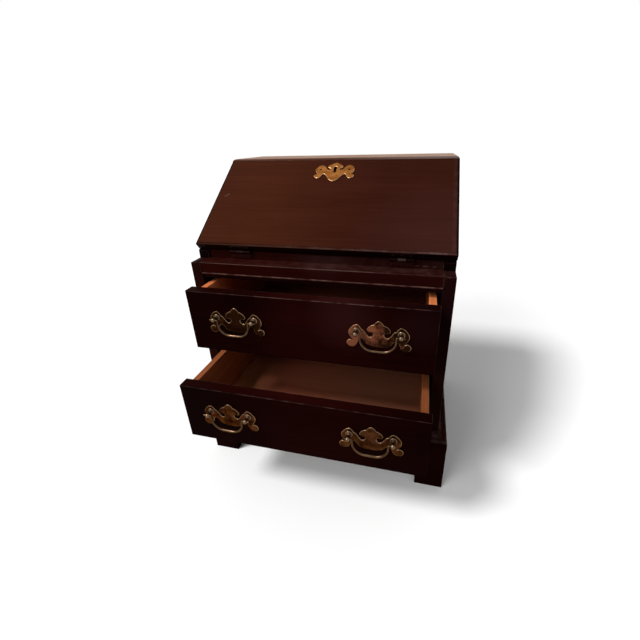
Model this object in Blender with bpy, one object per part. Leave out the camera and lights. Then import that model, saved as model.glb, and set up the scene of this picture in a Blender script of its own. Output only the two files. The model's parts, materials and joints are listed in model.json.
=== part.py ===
"""A small slant-front desk: two drawers under a sloping fall, on a bracket base.

Metres, +Z up, the front facing -Y. The origin is on the floor, under the middle of the object's box.
"""

import math

import bmesh
import bpy
from mathutils import Matrix, Vector

for stale in list(bpy.data.objects):
    bpy.data.objects.remove(stale, do_unlink=True)

# Clearances
fit_gap = 0.0003  # between pieces that are glued, screwed or seated together
drawer_gap = 0.0015  # round an inset drawer front
run_gap = 0.0005  # beside a sliding drawer
lid_gap = 0.0010  # between the lid's top edge and the top board

# Case
case_width = 0.440
case_depth = 0.326
side_thickness = 0.019
top_thickness = 0.015
top_nose_radius = 0.012
top_end_radius = 0.006  # along the left and right ends of the top board
bottom_thickness = 0.0165
back_thickness = 0.005
back_rabbet = 0.008
housing_depth = 0.006  # how far a shelf or board is let into each side panel
upper_rail_height = 0.0054
upper_rail_setback = 0.004
divider_height = 0.031
rail_depth = 0.019
ledge_thickness = 0.0214
ledge_depth = 0.028  # from the case front back to the upper front edge of the sides
ledge_tail = 0.030  # how far the ledge board runs in under the writing board
ledge_lap = 0.0038  # how far the ledge is let into each side panel
ledge_bead = 0.0019
ledge_quirk = 0.0009
overhang = 0.001  # of lid and top board over the side panels

# Base
base_height = 0.122
base_projection = 0.0165
moulding_height = 0.0145
ovolo_radius = 0.005
fillet_width = 0.0015
fillet_height = 0.0015
moulding_cap = 0.0008
foot_width = 0.0505
foot_straight = 0.028
bracket_height = 0.058
back_foot_thickness = 0.015

# Lid
lid_slope = math.radians(36.75)
lid_length = 0.209
lid_thickness = 0.0135
lid_edge = 0.0117  # plain part of the edge, below the moulding
lip_width = 0.0044
lip_step = 0.0008
lid_corner = 0.0015

# Hinges
hinge_offset = 0.0037  # from the hinge axis to the wood on either side
hinge_length = 0.038
hinge_inset = 0.082  # from the case's side to a hinge's middle
leaf_thickness = 0.0012
leaf_width = 0.0115
knuckle_radius = 0.0030
knuckle_gap = 0.0004
pin_radius = 0.0011
pin_gap = 0.00025
pin_head = 0.0010

# Lock
lock_width = 0.038
lock_height = 0.038
lock_depth = 0.0088
bolt_width = 0.014
bolt_length = 0.0185
bolt_thickness = 0.0040
bolt_level = 0.0055  # from the lid's inner face to the middle of the bolt
bolt_setback = 0.0005
bolt_travel = 0.0045
strike_length = 0.040
strike_width = 0.008
strike_thickness = 0.0012
key_drop = 0.0225  # from the lid's top edge down to the keyhole
key_radius = 0.0028
key_slot_width = 0.0042
key_slot_length = 0.0112

# Pigeonholes behind the lid
gallery_setback = 0.004
shelf_rise = 0.040
shelf_thickness = 0.006
pigeonhole_dividers = 3
divider_thickness = 0.005
divider_sweep = 0.022
divider_step = 0.024

# Drawers
lower_drawer_height = 0.107
upper_drawer_height = 0.1075
lower_pull_out = 0.1155  # how far each stands open at rest
upper_pull_out = 0.0545
drawer_length = 0.295
front_thickness = 0.019
front_edge = 0.0012
tongue_length = 0.009  # of the dovetailed tongue that each side slides up into the front
tongue_neck = 0.006
tongue_tip = 0.008
side_inset = 0.0045
drawer_side_thickness = 0.011
drawer_back_thickness = 0.010
drawer_bottom_thickness = 0.005
drawer_bottom_rise = 0.010
groove_depth = 0.005
side_drop = 0.008  # of the drawer's sides below the top of its front
guide_height = 0.012
guide_setback = 0.001
runner_width = 0.024

# Pulls
pull_inset = 0.105  # from the case's side to a pull's middle
pull_rise = 0.0114  # of the posts above the middle of the drawer front
post_spread = 0.066
plate_thickness = 0.0018
plate_unit = 0.001  # what the outlines of plate and escutcheon are drawn in
post_flange_radius = 0.0056
post_flange_height = 0.0008
post_cove_radius = 0.0042
post_cove_height = 0.0015
post_neck_foot = 0.0030
post_neck_radius = 0.0027
post_ball_radius = 0.0040
post_pivot = 0.0100  # from the plate's face out to the bail's axis
shank_radius = 0.0020
shank_gap = 0.0003
shank_tail = 0.0060
bail_drop = 0.0258
bail_radius = 0.0017
bail_bar_radius = 0.0022
bail_end_radius = 0.0013
bail_end_reach = 0.0028
bail_bend = 0.0022
bail_corner = 0.0190

# Escutcheon
escutcheon_thickness = 0.0014
escutcheon_nail = 0.0271  # across from the keyhole's middle to each nail
escutcheon_nail_drop = 0.0047
nail_radius = 0.0011

# Facets
arc_steps = 5
long_arc_steps = 8
keyhole_steps = 12
outline_steps = 2
bail_facets = 2
round_sides = 12
smooth_angle = math.radians(40)

# Derived places
half_width = case_width / 2
hinge_x = half_width - hinge_inset
pull_x = half_width - pull_inset
inner_half = half_width - side_thickness
inner_back = case_depth - back_thickness - fit_gap
bottom_z = base_height + fit_gap
floor_z = bottom_z + bottom_thickness
lower_drawer_z = floor_z + drawer_gap
divider_z = lower_drawer_z + lower_drawer_height + drawer_gap
runner_z = divider_z + divider_height
upper_drawer_z = runner_z + drawer_gap
rail_z = upper_drawer_z + upper_drawer_height + drawer_gap
ledge_z = rail_z + upper_rail_height + fit_gap
ledge_top = ledge_z + ledge_thickness
ledge_reach = inner_half + ledge_lap
ledge_run = ledge_depth + hinge_offset + ledge_tail
axis_y = ledge_depth
axis_z = ledge_top + fit_gap + lid_thickness
slope_cos = math.cos(lid_slope)
slope_sin = math.sin(lid_slope)
lid_top = hinge_offset + lid_length  # up the slope from the hinge axis
top_under = axis_z + lid_top * slope_sin + fit_gap
case_height = top_under + top_thickness
panel_bottom = bracket_height + fit_gap
front_half = inner_half - drawer_gap
side_outer = front_half - side_inset
side_inner = side_outer - drawer_side_thickness
slide_drop = drawer_gap - fit_gap  # the drawer's sides reach this far below its front, to the runners
plate_face = fit_gap + plate_thickness
pivot_reach = plate_face + fit_gap + post_pivot
pull_reach = pivot_reach + post_ball_radius
front_reach = max(lower_pull_out, upper_pull_out) + pull_reach
frame_shift = (front_reach - case_depth) / 2
lid_frame = Matrix.Translation((0, axis_y, axis_z)) @ Matrix.Rotation(lid_slope, 4, "X")

# Finishes: colour, roughness, metallic
mahogany = ((0.045, 0.011, 0.007, 1), 0.32, 0.0)
drawer_front_wood = ((0.030, 0.005, 0.004, 1), 0.36, 0.0)
secondary_wood = ((0.420, 0.190, 0.075, 1), 0.55, 0.0)
drawer_floor_wood = ((0.160, 0.065, 0.026, 1), 0.60, 0.0)
antique_brass = ((0.340, 0.200, 0.110, 1), 0.38, 1.0)
bright_brass = ((0.700, 0.380, 0.130, 1), 0.34, 1.0)
steel = ((0.350, 0.340, 0.330, 1), 0.40, 1.0)


def material(name, finish):
    colour, roughness, metallic = finish
    made = bpy.data.materials.new(name)
    made.use_nodes = True
    shader = made.node_tree.nodes["Principled BSDF"]
    shader.inputs["Base Color"].default_value = colour
    shader.inputs["Roughness"].default_value = roughness
    shader.inputs["Metallic"].default_value = metallic
    return made


def add_object(name, data, finish=None, location=(0, 0, 0)):
    made = bpy.data.objects.new(name, data)
    bpy.context.scene.collection.objects.link(made)
    made.location = location
    if finish:
        data.materials.append(material(name, finish))
    return made


def add_empty(name, location, parent=None, tilt=0.0):
    made = add_object(name, None, location=location)
    made.rotation_euler.x = tilt
    made.parent = parent
    return made


def finish_mesh(name, bm, round_piece=False):
    bmesh.ops.remove_doubles(bm, verts=bm.verts, dist=1e-6)
    bmesh.ops.recalc_face_normals(bm, faces=bm.faces)
    mesh = bpy.data.meshes.new(name)
    bm.to_mesh(mesh)
    bm.free()
    if round_piece:
        mesh.shade_smooth()
        mesh.set_sharp_from_angle(angle=smooth_angle)
    return mesh


def board(name, low, high, finish=None, front_arris=0.0):
    """A rectangular board between two corners, with its origin at its middle and its front arrises eased."""
    low = Vector(low)
    high = Vector(high)
    bm = bmesh.new()
    bmesh.ops.create_cube(bm, size=1)
    bmesh.ops.scale(bm, vec=high - low, verts=bm.verts)
    if front_arris:
        arrises = [edge for edge in bm.edges if all(vert.co.y < 0 for vert in edge.verts)]
        bmesh.ops.bevel(
            bm, geom=arrises, offset=front_arris, affect="EDGES", segments=2, profile=0.5, material=-1
        )
    return add_object(name, finish_mesh(name, bm), finish, (low + high) / 2)


def prism(name, outline, normal, low, high, finish=None):
    """An outline of (a, b) points drawn out along X, Y or Z from low to high."""
    spots = {
        "X": lambda a, b: (low, a, b),
        "Y": lambda a, b: (a, low, b),
        "Z": lambda a, b: (a, b, low),
    }
    ways = {"X": (high - low, 0, 0), "Y": (0, high - low, 0), "Z": (0, 0, high - low)}
    bm = bmesh.new()
    face = bm.faces.new([bm.verts.new(spots[normal](a, b)) for a, b in outline])
    drawn = bmesh.ops.extrude_face_region(bm, geom=[face])
    moved = [item for item in drawn["geom"] if isinstance(item, bmesh.types.BMVert)]
    bmesh.ops.translate(bm, vec=ways[normal], verts=moved)
    return add_object(name, finish_mesh(name, bm), finish)


def rod(name, radius, low, high, across=(0, 0), normal="X"):
    """A round rod along X, Y or Z, for a knuckle or a drill."""
    turn = [2 * math.pi * step / round_sides for step in range(round_sides)]
    outline = [(across[0] + radius * math.cos(a), across[1] + radius * math.sin(a)) for a in turn]
    return prism(name, outline, normal, low, high)


def turned(name, profile, finish):
    """A profile of (radius, height) points turned about Z."""
    bm = bmesh.new()
    line = [bm.verts.new((radius, 0, height)) for radius, height in profile]
    edges = [bm.edges.new(pair) for pair in zip(line, line[1:])]
    bmesh.ops.spin(
        bm,
        geom=line + edges,
        axis=(0, 0, 1),
        cent=(0, 0, 0),
        angle=2 * math.pi,
        steps=round_sides,
        use_merge=True,
    )
    return add_object(name, finish_mesh(name, bm, True), finish)


def arc(centre, radii, start, end, steps=arc_steps):
    """Points of an elliptical arc, angles in degrees."""
    angles = [math.radians(start + (end - start) * step / steps) for step in range(steps + 1)]
    return [(centre[0] + radii[0] * math.cos(a), centre[1] + radii[1] * math.sin(a)) for a in angles]


def rounded(corners, steps=arc_steps):
    """An open or closed run of (a, b, radius) corners, each rounded to its radius."""
    points = []
    for index, (a, b, radius) in enumerate(corners):
        here = Vector((a, b))
        if radius == 0:
            points.append(here)
            continue
        before = (Vector(corners[index - 1][:2]) - here).normalized()
        after = (Vector(corners[(index + 1) % len(corners)][:2]) - here).normalized()
        half = before.angle(after) / 2
        reach = radius / math.tan(half)
        centre = here + (before + after).normalized() * radius / math.sin(half)
        first = here + before * reach - centre
        turn = first.angle_signed(here + after * reach - centre)
        for step in range(steps + 1):
            points.append(centre + Matrix.Rotation(-turn * step / steps, 2) @ first)
    return [tuple(point) for point in points]


def combine(target, tool, operation):
    """Cuts the tool from the target, joins it on or keeps what they share, and removes the tool."""
    modifier = target.modifiers.new("combine", "BOOLEAN")
    modifier.object = tool
    modifier.operation = operation
    modifier.solver = "EXACT"
    graph = bpy.context.evaluated_depsgraph_get()
    mesh = bpy.data.meshes.new_from_object(target.evaluated_get(graph))
    target.modifiers.clear()
    target.data = mesh
    bpy.data.objects.remove(tool, do_unlink=True)


def cut(target, *tools):
    for tool in tools:
        combine(target, tool, "DIFFERENCE")


def join(target, *tools):
    for tool in tools:
        combine(target, tool, "UNION")


def housing(low, high):
    """A cutter for the housing that takes a board with these corners."""
    room = Vector((fit_gap, fit_gap, fit_gap))
    return board("housing", Vector(low) - room, Vector(high) + room)


def moulded_slab(name, width, length, rings, corner, finish):
    """A slab over (x, y) with rings of (inset, height) moulded on its left, right and y = 0 edges."""
    bm = bmesh.new()
    loops = []
    for inset, height in rings:
        radius = max(corner - inset, 0)
        centre = (width / 2 - max(corner, inset), max(corner, inset))
        right = arc(centre, (radius, radius), -90, 0)
        left = [(-x, y) for x, y in reversed(right)]
        outline = [(inset - width / 2, length)] + left + right + [(width / 2 - inset, length)]
        loops.append([bm.verts.new((x, y, height)) for x, y in outline])
    count = len(loops[0])
    for lower, upper in zip(loops, loops[1:]):
        for index in range(count - 1):
            bm.faces.new((lower[index], lower[index + 1], upper[index + 1], upper[index]))
    bm.faces.new(reversed(loops[0]))
    bm.faces.new(loops[-1])
    bm.faces.new([loop[0] for loop in loops] + [loop[-1] for loop in reversed(loops)])
    return add_object(name, finish_mesh(name, bm), finish)


def on_lid_plane(up, out):
    """The (y, z) of a point up the lid's slope from the hinge axis and out from its inner face."""
    return (axis_y + up * slope_cos - out * slope_sin, axis_z + up * slope_sin + out * slope_cos)


desk = add_empty("desk", (0, frame_shift, 0))
lid = add_empty("lid", (0, axis_y, axis_z), desk, lid_slope)


def side_outline():
    """The stepped and sloping side, in (y, z), just clear of the lid's inner face."""
    top = top_under - fit_gap
    seat_y, seat_z = on_lid_plane(0, -fit_gap)
    rise = math.tan(lid_slope)
    return [
        (0, panel_bottom),
        (0, ledge_top),
        (ledge_depth, ledge_top),
        (ledge_depth, seat_z + (ledge_depth - seat_y) * rise),
        (seat_y + (top - seat_z) / rise, top),
        (case_depth, top),
        (case_depth, panel_bottom),
    ]


def housed_boards():
    """Corners of the three boards that are let into the side panels."""
    reach = inner_half + housing_depth - fit_gap
    shelf_z = axis_z + shelf_rise
    return {
        "bottom_board": ((-reach, 0, bottom_z), (reach, inner_back, floor_z)),
        "writing_board": ((-reach, axis_y + hinge_offset, ledge_top + fit_gap), (reach, inner_back, axis_z)),
        "gallery_shelf": ((-reach, gallery_front, shelf_z), (reach, inner_back, shelf_z + shelf_thickness)),
    }


gallery_front = on_lid_plane(lid_top, 0)[0] + gallery_setback


def make_sides():
    for name, side in (("left_side_panel", -1), ("right_side_panel", 1)):
        ends = sorted((side * inner_half, side * half_width))
        panel = prism(name, side_outline(), "X", *ends, mahogany)
        rabbet = sorted((side * (inner_half - fit_gap), side * (inner_half + back_rabbet)))
        low_z = panel_bottom - side_thickness
        high = (rabbet[1], case_depth + side_thickness, case_height)
        cut(panel, board("rabbet", (rabbet[0], inner_back, low_z), high))
        for low, high in housed_boards().values():
            cut(panel, housing(low, high))
        cut(panel, housing((-ledge_reach, 0, ledge_z), (ledge_reach, ledge_run, ledge_top)))
        panel.parent = desk


def make_housed_boards():
    for name, (low, high) in housed_boards().items():
        board(name, low, high, mahogany).parent = desk


def make_top():
    """The top board; its front edge meets the lid square, then slopes on in the plane of the lid's face.

    Its ends are rounded over along the top."""
    up = lid_top + lid_gap
    rise = (top_under - axis_z - up * slope_sin) / slope_cos
    under_y = on_lid_plane(up, rise)[0]
    face_y, face_z = on_lid_plane(up, lid_thickness)
    nose_y = face_y + (case_height - face_z) / math.tan(lid_slope)
    outline = rounded(
        [
            (under_y, top_under, 0),
            (face_y, face_z, 0),
            (nose_y, case_height, top_nose_radius),
            (case_depth, case_height, 0),
            (case_depth, top_under, 0),
        ]
    )
    reach = half_width + overhang
    top = prism("top_board", outline, "X", -reach, reach, mahogany)
    ends = rounded(
        [
            (-reach, top_under - top_thickness, 0),
            (-reach, case_height, top_end_radius),
            (reach, case_height, top_end_radius),
            (reach, top_under - top_thickness, 0),
        ]
    )
    rounding = prism("rounding", ends, "Y", under_y - top_thickness, case_depth + top_thickness)
    combine(top, rounding, "INTERSECT")
    for tool in (strike_room(), bolt_room()):
        tool.matrix_world = lid_frame @ tool.matrix_basis
        cut(top, tool)
    top.parent = desk


def strike_corners(room):
    face = lid_top + lid_gap
    low = (-strike_length / 2 - room, face - room, bolt_level - strike_width / 2 - room)
    high = (strike_length / 2 + room, face + strike_thickness + room, bolt_level + strike_width / 2 + room)
    return low, high


def strike_room():
    return board("strike_room", *strike_corners(fit_gap))


def bolt_room():
    half = bolt_width / 2 + run_gap
    level = bolt_thickness / 2 + run_gap
    reach = lid_top + bolt_travel + lid_gap
    return board("bolt_room", (-half, lid_top, bolt_level - level), (half, reach, bolt_level + level))


def make_strike():
    plate = board("strike_plate", *strike_corners(0), bright_brass)
    cut(plate, bolt_room())
    plate.parent = add_empty("strike_seat", (0, axis_y, axis_z), desk, lid_slope)


def make_back():
    reach = inner_half + back_rabbet - fit_gap
    low = (-reach, case_depth - back_thickness, panel_bottom)
    high = (reach, case_depth, top_under - fit_gap)
    board("back_panel", low, high, mahogany).parent = desk


def make_ledge():
    """The ledge under the lid, its front edged on three sides by a bead; drawn lying down, then stood up."""
    round_bead = arc((0, 0), (ledge_bead, ledge_bead), 0, 180, long_arc_steps)
    bead = [(ledge_bead - x, ledge_run - ledge_bead + y) for x, y in round_bead]
    rings = [(0, 0)] + bead + [(2 * ledge_bead, ledge_run - ledge_bead - ledge_quirk)]
    rings.append((2 * ledge_bead + ledge_quirk, ledge_run - ledge_quirk))
    ledge = moulded_slab("ledge_board", 2 * ledge_reach, ledge_thickness, rings, 2 * ledge_bead, mahogany)
    ledge.rotation_euler.x = math.radians(90)
    ledge.location = (0, ledge_run, ledge_z)
    ledge.parent = desk


def make_rails():
    reach = inner_half - fit_gap
    upper_low = (-reach, upper_rail_setback, rail_z)
    upper_high = (reach, upper_rail_setback + rail_depth, rail_z + upper_rail_height)
    board("upper_rail", upper_low, upper_high, mahogany).parent = desk
    board("drawer_divider", (-reach, 0, divider_z), (reach, rail_depth, runner_z), mahogany).parent = desk


def make_runners():
    """Upper runners with their guides, and guides alone on the bottom board."""
    wall = inner_half - fit_gap
    guide = side_outer + run_gap
    start = front_thickness + guide_setback
    inner = wall - runner_width
    runner = [
        (wall, divider_z),
        (wall, runner_z + guide_height),
        (guide, runner_z + guide_height),
        (guide, runner_z),
        (inner, runner_z),
        (inner, divider_z),
    ]
    for label, side in (("left", -1), ("right", 1)):
        outline = [(side * x, z) for x, z in runner]
        prism("upper_runner_" + label, outline, "Y", start, inner_back, secondary_wood).parent = desk
        ends = sorted((side * guide, side * wall))
        low = (ends[0], start, floor_z + fit_gap)
        high = (ends[1], inner_back, floor_z + guide_height)
        board("lower_guide_" + label, low, high, secondary_wood).parent = desk


def base_section():
    """The base's section as (projection, height): a plain face under an ovolo, a fillet and a cove."""
    face_top = base_height - moulding_height
    ovolo = arc((base_projection - ovolo_radius, face_top), (ovolo_radius, ovolo_radius), 0, 90)
    cove_foot = base_projection - ovolo_radius - fillet_width
    cove_base = face_top + ovolo_radius + fillet_height
    cove_radii = (cove_foot - moulding_cap, base_height - cove_base)
    cove = arc((cove_foot, base_height), cove_radii, 270, 180)
    step = [(cove_foot, face_top + ovolo_radius)]
    return [(fit_gap, 0), (base_projection, 0)] + ovolo + step + cove + [(fit_gap, base_height)]


def mitred(name, ends):
    """The base section drawn between two ends; each is a function from (projection, height) to a point."""
    bm = bmesh.new()
    first, second = [[bm.verts.new(end(out, z)) for out, z in base_section()] for end in ends]
    count = len(first)
    for index in range(count):
        after = (index + 1) % count
        bm.faces.new((first[index], first[after], second[after], second[index]))
    bm.faces.new(first)
    bm.faces.new(reversed(second))
    return add_object(name, finish_mesh(name, bm), mahogany)


def bracket_opening(low, high):
    """The opening between two bracket feet: straight feet, then an ogee up to the apron."""
    radius = (bracket_height - foot_straight) / 2
    ogee = arc((high - radius, foot_straight), (radius, radius), 0, 90)
    ogee += arc((high - radius, bracket_height), (radius, radius), 270, 180)
    mirrored = [(low + high - a, b) for a, b in reversed(ogee)]
    return [(low, -foot_straight), (high, -foot_straight)] + ogee + mirrored


def make_base():
    mitre = fit_gap / 2
    foot_x = half_width + base_projection - foot_width
    front = mitred(
        "base_front",
        [
            lambda out, z: (-half_width - out + mitre, -out, z),
            lambda out, z: (half_width + out - mitre, -out, z),
        ],
    )
    cut(front, prism("opening", bracket_opening(-foot_x, foot_x), "Y", -2 * base_projection, base_projection))
    front.parent = desk
    for name, side in (("base_left", -1), ("base_right", 1)):
        flank = mitred(
            name,
            [
                lambda out, z, side=side: (side * (half_width + out), mitre - out, z),
                lambda out, z, side=side: (side * (half_width + out), case_depth, z),
            ],
        )
        opening = bracket_opening(foot_width - base_projection, case_depth - foot_width)
        ends = sorted((side * (half_width - base_projection), side * (half_width + 2 * base_projection)))
        cut(flank, prism("opening", opening, "X", *ends))
        flank.parent = desk
    back_y = case_depth - back_foot_thickness
    back = board("base_back", (-half_width, back_y, 0), (half_width, case_depth, bracket_height), mahogany)
    back_opening = bracket_opening(-foot_x, foot_x)
    apron = bracket_height - foot_straight
    lowered = [(x, z - apron / 2) for x, z in back_opening]
    cut(back, prism("opening", lowered, "Y", back_y - base_projection, case_depth + base_projection))
    back.parent = desk


def make_pigeonholes():
    """Dividers between the gallery shelf and the top board, their front edges swept back in an ogee."""
    low_z = axis_z + shelf_rise + shelf_thickness + fit_gap
    high_z = top_under - fit_gap
    front = gallery_front + fit_gap
    radius = divider_sweep / 2
    ogee = arc((front + radius, low_z + divider_step), (radius, radius), 180, 90)
    ogee += arc((front + radius, low_z + divider_step + 2 * radius), (radius, radius), 270, 360)
    back = [(front + divider_sweep, high_z), (inner_back, high_z), (inner_back, low_z)]
    outline = [(front, low_z)] + ogee + back
    pitch = 2 * inner_half / (pigeonhole_dividers + 1)
    for index in range(pigeonhole_dividers):
        middle = -inner_half + pitch * (index + 1)
        ends = (middle - divider_thickness / 2, middle + divider_thickness / 2)
        name = "pigeonhole_divider_" + str(index + 1)
        prism(name, outline, "X", *ends, secondary_wood).parent = desk


def hinge_leaf(name, knuckles, way):
    """A hinge leaf along X; way is -1 to hang the plate below the axis and 1 to stand it above."""
    plate = (hinge_offset - fit_gap - leaf_thickness, hinge_offset - fit_gap)
    tab_end = way * (knuckle_radius + fit_gap)
    low_z, high_z = sorted((tab_end, way * leaf_width))
    half = hinge_length / 2
    leaf = board(name, (-half, plate[0], low_z), (half, plate[1], high_z), antique_brass)
    for start, end in knuckles:
        low_z, high_z = sorted((0, tab_end + way * fit_gap))
        join(leaf, rod("knuckle", knuckle_radius, start, end))
        join(leaf, board("tab", (start, plate[0], low_z), (end, plate[1], high_z)))
        cut(leaf, rod("bore", pin_radius + pin_gap, start - knuckle_gap / 2, end + knuckle_gap / 2))
    return leaf


def make_hinges():
    length = (hinge_length - 2 * knuckle_gap) / 3
    starts = [-hinge_length / 2 + index * (length + knuckle_gap) for index in range(3)]
    spans = [(start, start + length) for start in starts]
    pin_half = hinge_length / 2 + pin_head
    for label, side in (("left", -1), ("right", 1)):
        x = side * hinge_x
        case_leaf = hinge_leaf("hinge_leaf_" + label, (spans[0], spans[2]), -1)
        case_leaf.location += Vector((x, axis_y, axis_z))
        case_leaf.parent = desk
        lid_leaf = hinge_leaf("lid_leaf_" + label, spans[1:2], 1)
        lid_leaf.location.x += x
        lid_leaf.parent = lid
        pin = turned(
            "hinge_pin_" + label,
            [(0, pin_half), (pin_radius / 2, pin_half), (pin_radius, pin_half - pin_head)]
            + [(pin_radius, pin_head - pin_half), (pin_radius / 2, -pin_half), (0, -pin_half)],
            antique_brass,
        )
        pin.rotation_euler.y = math.radians(90)
        pin.location = (x, axis_y, axis_z)
        pin.parent = desk


def keyhole(room=0.0):
    """A round hole with a slot below it, about the key's axis."""
    radius = key_radius + room
    half = key_slot_width / 2 + room
    start = math.degrees(math.acos(half / radius))
    return arc((0, 0), (radius, radius), -start, 180 + start, keyhole_steps) + [
        (-half, -key_slot_length - room),
        (half, -key_slot_length - room),
    ]


def lid_rings():
    ovolo_rise = lid_thickness - lip_step - lid_edge
    ovolo = [(lip_width - x, lid_edge + z) for x, z in arc((0, 0), (lip_width, ovolo_rise), 0, 90)]
    return [(0, 0)] + ovolo + [(lip_width, lid_thickness)]


def make_lid():
    panel = moulded_slab(
        "lid_panel", 2 * (half_width + overhang), lid_length, lid_rings(), lid_corner, mahogany
    )
    panel.location.y = hinge_offset
    lock_low = (-lock_width / 2, lid_top - lock_height, 0)
    lock_high = (lock_width / 2, lid_top - bolt_setback, lock_depth)
    mortise_low = (lock_low[0] - fit_gap, lock_low[1] - fit_gap, -lid_thickness)
    mortise_high = (lock_high[0] + fit_gap, lid_top + lock_height, lock_depth + fit_gap)
    key_place = (0, lid_top - key_drop, 0)
    cut(panel, board("mortise", mortise_low, mortise_high))
    hole = prism("keyhole", keyhole(), "Z", 0, 2 * lid_thickness)
    hole.location = key_place
    cut(panel, hole)
    panel.parent = lid

    lock = board("lock_case", lock_low, lock_high, steel)
    wall = bolt_level - bolt_thickness / 2
    half = bolt_width / 2 + fit_gap
    level = bolt_thickness / 2 + fit_gap
    channel_low = (-half, lock_low[1] + wall, bolt_level - level)
    channel_high = (half, lid_top + bolt_travel, bolt_level + level)
    cut(lock, board("channel", channel_low, channel_high))
    key_room = prism("key_room", keyhole(fit_gap), "Z", bolt_level, 2 * lid_thickness)
    key_room.location = key_place
    cut(lock, key_room)
    lock.parent = lid

    tip = lid_top - bolt_setback
    bolt_low = (-bolt_width / 2, tip - bolt_length, bolt_level - bolt_thickness / 2)
    bolt_high = (bolt_width / 2, tip, bolt_level + bolt_thickness / 2)
    board("lock_bolt", bolt_low, bolt_high, bright_brass).parent = lid


def flat_plate(name, half_outline, holes, thickness, finish):
    """A pierced brass plate in (x, y) with a smooth symmetrical outline.

    Each outline point is (x, y, corner), down the right side from the top to the bottom."""
    curve = bpy.data.curves.new(name, "CURVE")
    curve.dimensions = "2D"
    curve.fill_mode = "BOTH"
    curve.resolution_u = outline_steps
    curve.extrude = thickness / 2
    mirrored = [(-x, y, corner) for x, y, corner in reversed(half_outline) if x > 0]
    spline = curve.splines.new("BEZIER")
    spline.use_cyclic_u = True
    points = half_outline + mirrored
    spline.bezier_points.add(len(points) - 1)
    for point, (x, y, corner) in zip(spline.bezier_points, points):
        point.co = (x, y, 0)
        kind = "VECTOR" if corner else "AUTO"
        point.handle_left_type = kind
        point.handle_right_type = kind
    for hole in holes:
        line = curve.splines.new("POLY")
        line.use_cyclic_u = True
        line.points.add(len(hole) - 1)
        for point, (x, y) in zip(line.points, hole):
            point.co = (x, y, 0, 1)
    return add_object(name, curve, finish)


def circle(centre, radius):
    return arc(centre, (radius, radius), 0, 360 - 360 / round_sides, round_sides - 1)


def drawn(points, foot=0.0):
    """Outline points drawn in plate units, with x measured across from a foot."""
    return [(foot + x * plate_unit, y * plate_unit, corner) for x, y, corner in points]


def escutcheon_outline():
    """A crown over a belly, from the keyhole; lobes and scrolls at the sides, from the nails."""
    crown = [
        (0, 15.0, True),
        (7.2, 10.4, False),
        (13.8, 4.8, False),
        (14.2, 1.6, False),
        (11.2, -0.6, False),
        (8.4, -2.4, False),
        (10.6, -4.6, False),
    ]
    lobe = [
        (-11.6, -2.2, False),
        (-8.2, 2.6, False),
        (-2.6, 7.2, False),
        (2.4, 6.6, False),
        (7.4, 1.8, False),
        (9.7, -3.8, False),
        (9.0, -9.6, False),
        (6.0, -14.0, False),
        (4.2, -15.6, True),
        (8.8, -17.2, False),
        (10.8, -21.2, False),
        (7.6, -25.2, False),
        (2.6, -26.8, False),
        (-1.9, -23.4, False),
        (-4.9, -18.0, False),
        (-7.2, -16.2, False),
        (-11.4, -19.2, False),
    ]
    belly = [(11.8, -24.6, False), (8.4, -29.8, False), (4.4, -33.2, False), (0, -34.4, False)]
    return drawn(crown) + drawn(lobe, escutcheon_nail) + drawn(belly)


def make_escutcheon():
    nails = [circle((side * escutcheon_nail, -escutcheon_nail_drop), nail_radius) for side in (-1, 1)]
    plate = flat_plate(
        "escutcheon", escutcheon_outline(), nails + [keyhole()], escutcheon_thickness, bright_brass
    )
    plate.location = (0, lid_top - key_drop, lid_thickness + fit_gap + escutcheon_thickness / 2)
    plate.parent = lid


def pull_outline():
    """A batwing plate: crown and belly from its middle, lobes and scrolls from the posts."""
    crown = [
        (0, 18.8, False),
        (4.4, 16.4, False),
        (7.4, 12.4, True),
        (11.6, 10.8, False),
        (15.8, 7.0, False),
        (17.6, 3.0, False),
        (14.4, -0.6, False),
        (10.6, -0.6, False),
        (8.4, -2.4, False),
        (9.6, -6.4, False),
        (13.0, -8.2, False),
    ]
    lobe = [
        (-16.2, -5.6, False),
        (-12.8, -0.6, False),
        (-10.6, 2.4, True),
        (-7.6, 4.0, False),
        (-5.2, 7.6, False),
        (-1.4, 11.0, True),
        (3.8, 9.2, False),
        (8.6, 4.6, False),
        (11.8, -1.4, False),
        (11.2, -7.6, False),
        (8.4, -12.4, False),
        (5.8, -16.6, True),
        (10.2, -15.4, False),
        (15.0, -20.2, False),
        (13.4, -25.8, False),
        (7.8, -28.2, False),
        (1.4, -25.8, False),
        (-1.8, -20.0, False),
        (-4.0, -14.4, False),
        (-7.4, -12.4, False),
        (-10.6, -15.4, False),
    ]
    belly = [(16.8, -21.6, False), (9.0, -24.4, False), (0, -25.0, False)]
    return drawn(crown) + drawn(lobe, post_spread / 2) + drawn(belly)


def post_profile():
    """Radius and height from the plate's face: ball, neck and flange, then the shank through the front."""
    low_angle = -math.degrees(math.acos(post_neck_radius / post_ball_radius))
    ball = arc((0, post_pivot), (post_ball_radius, post_ball_radius), 90, low_angle)
    tail = -(plate_face + fit_gap + front_thickness + shank_tail)
    return [(0.0, ball[0][1])] + ball[1:] + [
        (post_neck_radius, post_neck_foot),
        (post_cove_radius, post_cove_height),
        (post_flange_radius, post_flange_height),
        (post_flange_radius, 0),
        (shank_radius, 0),
        (shank_radius, tail),
        (0, tail),
    ]


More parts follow.
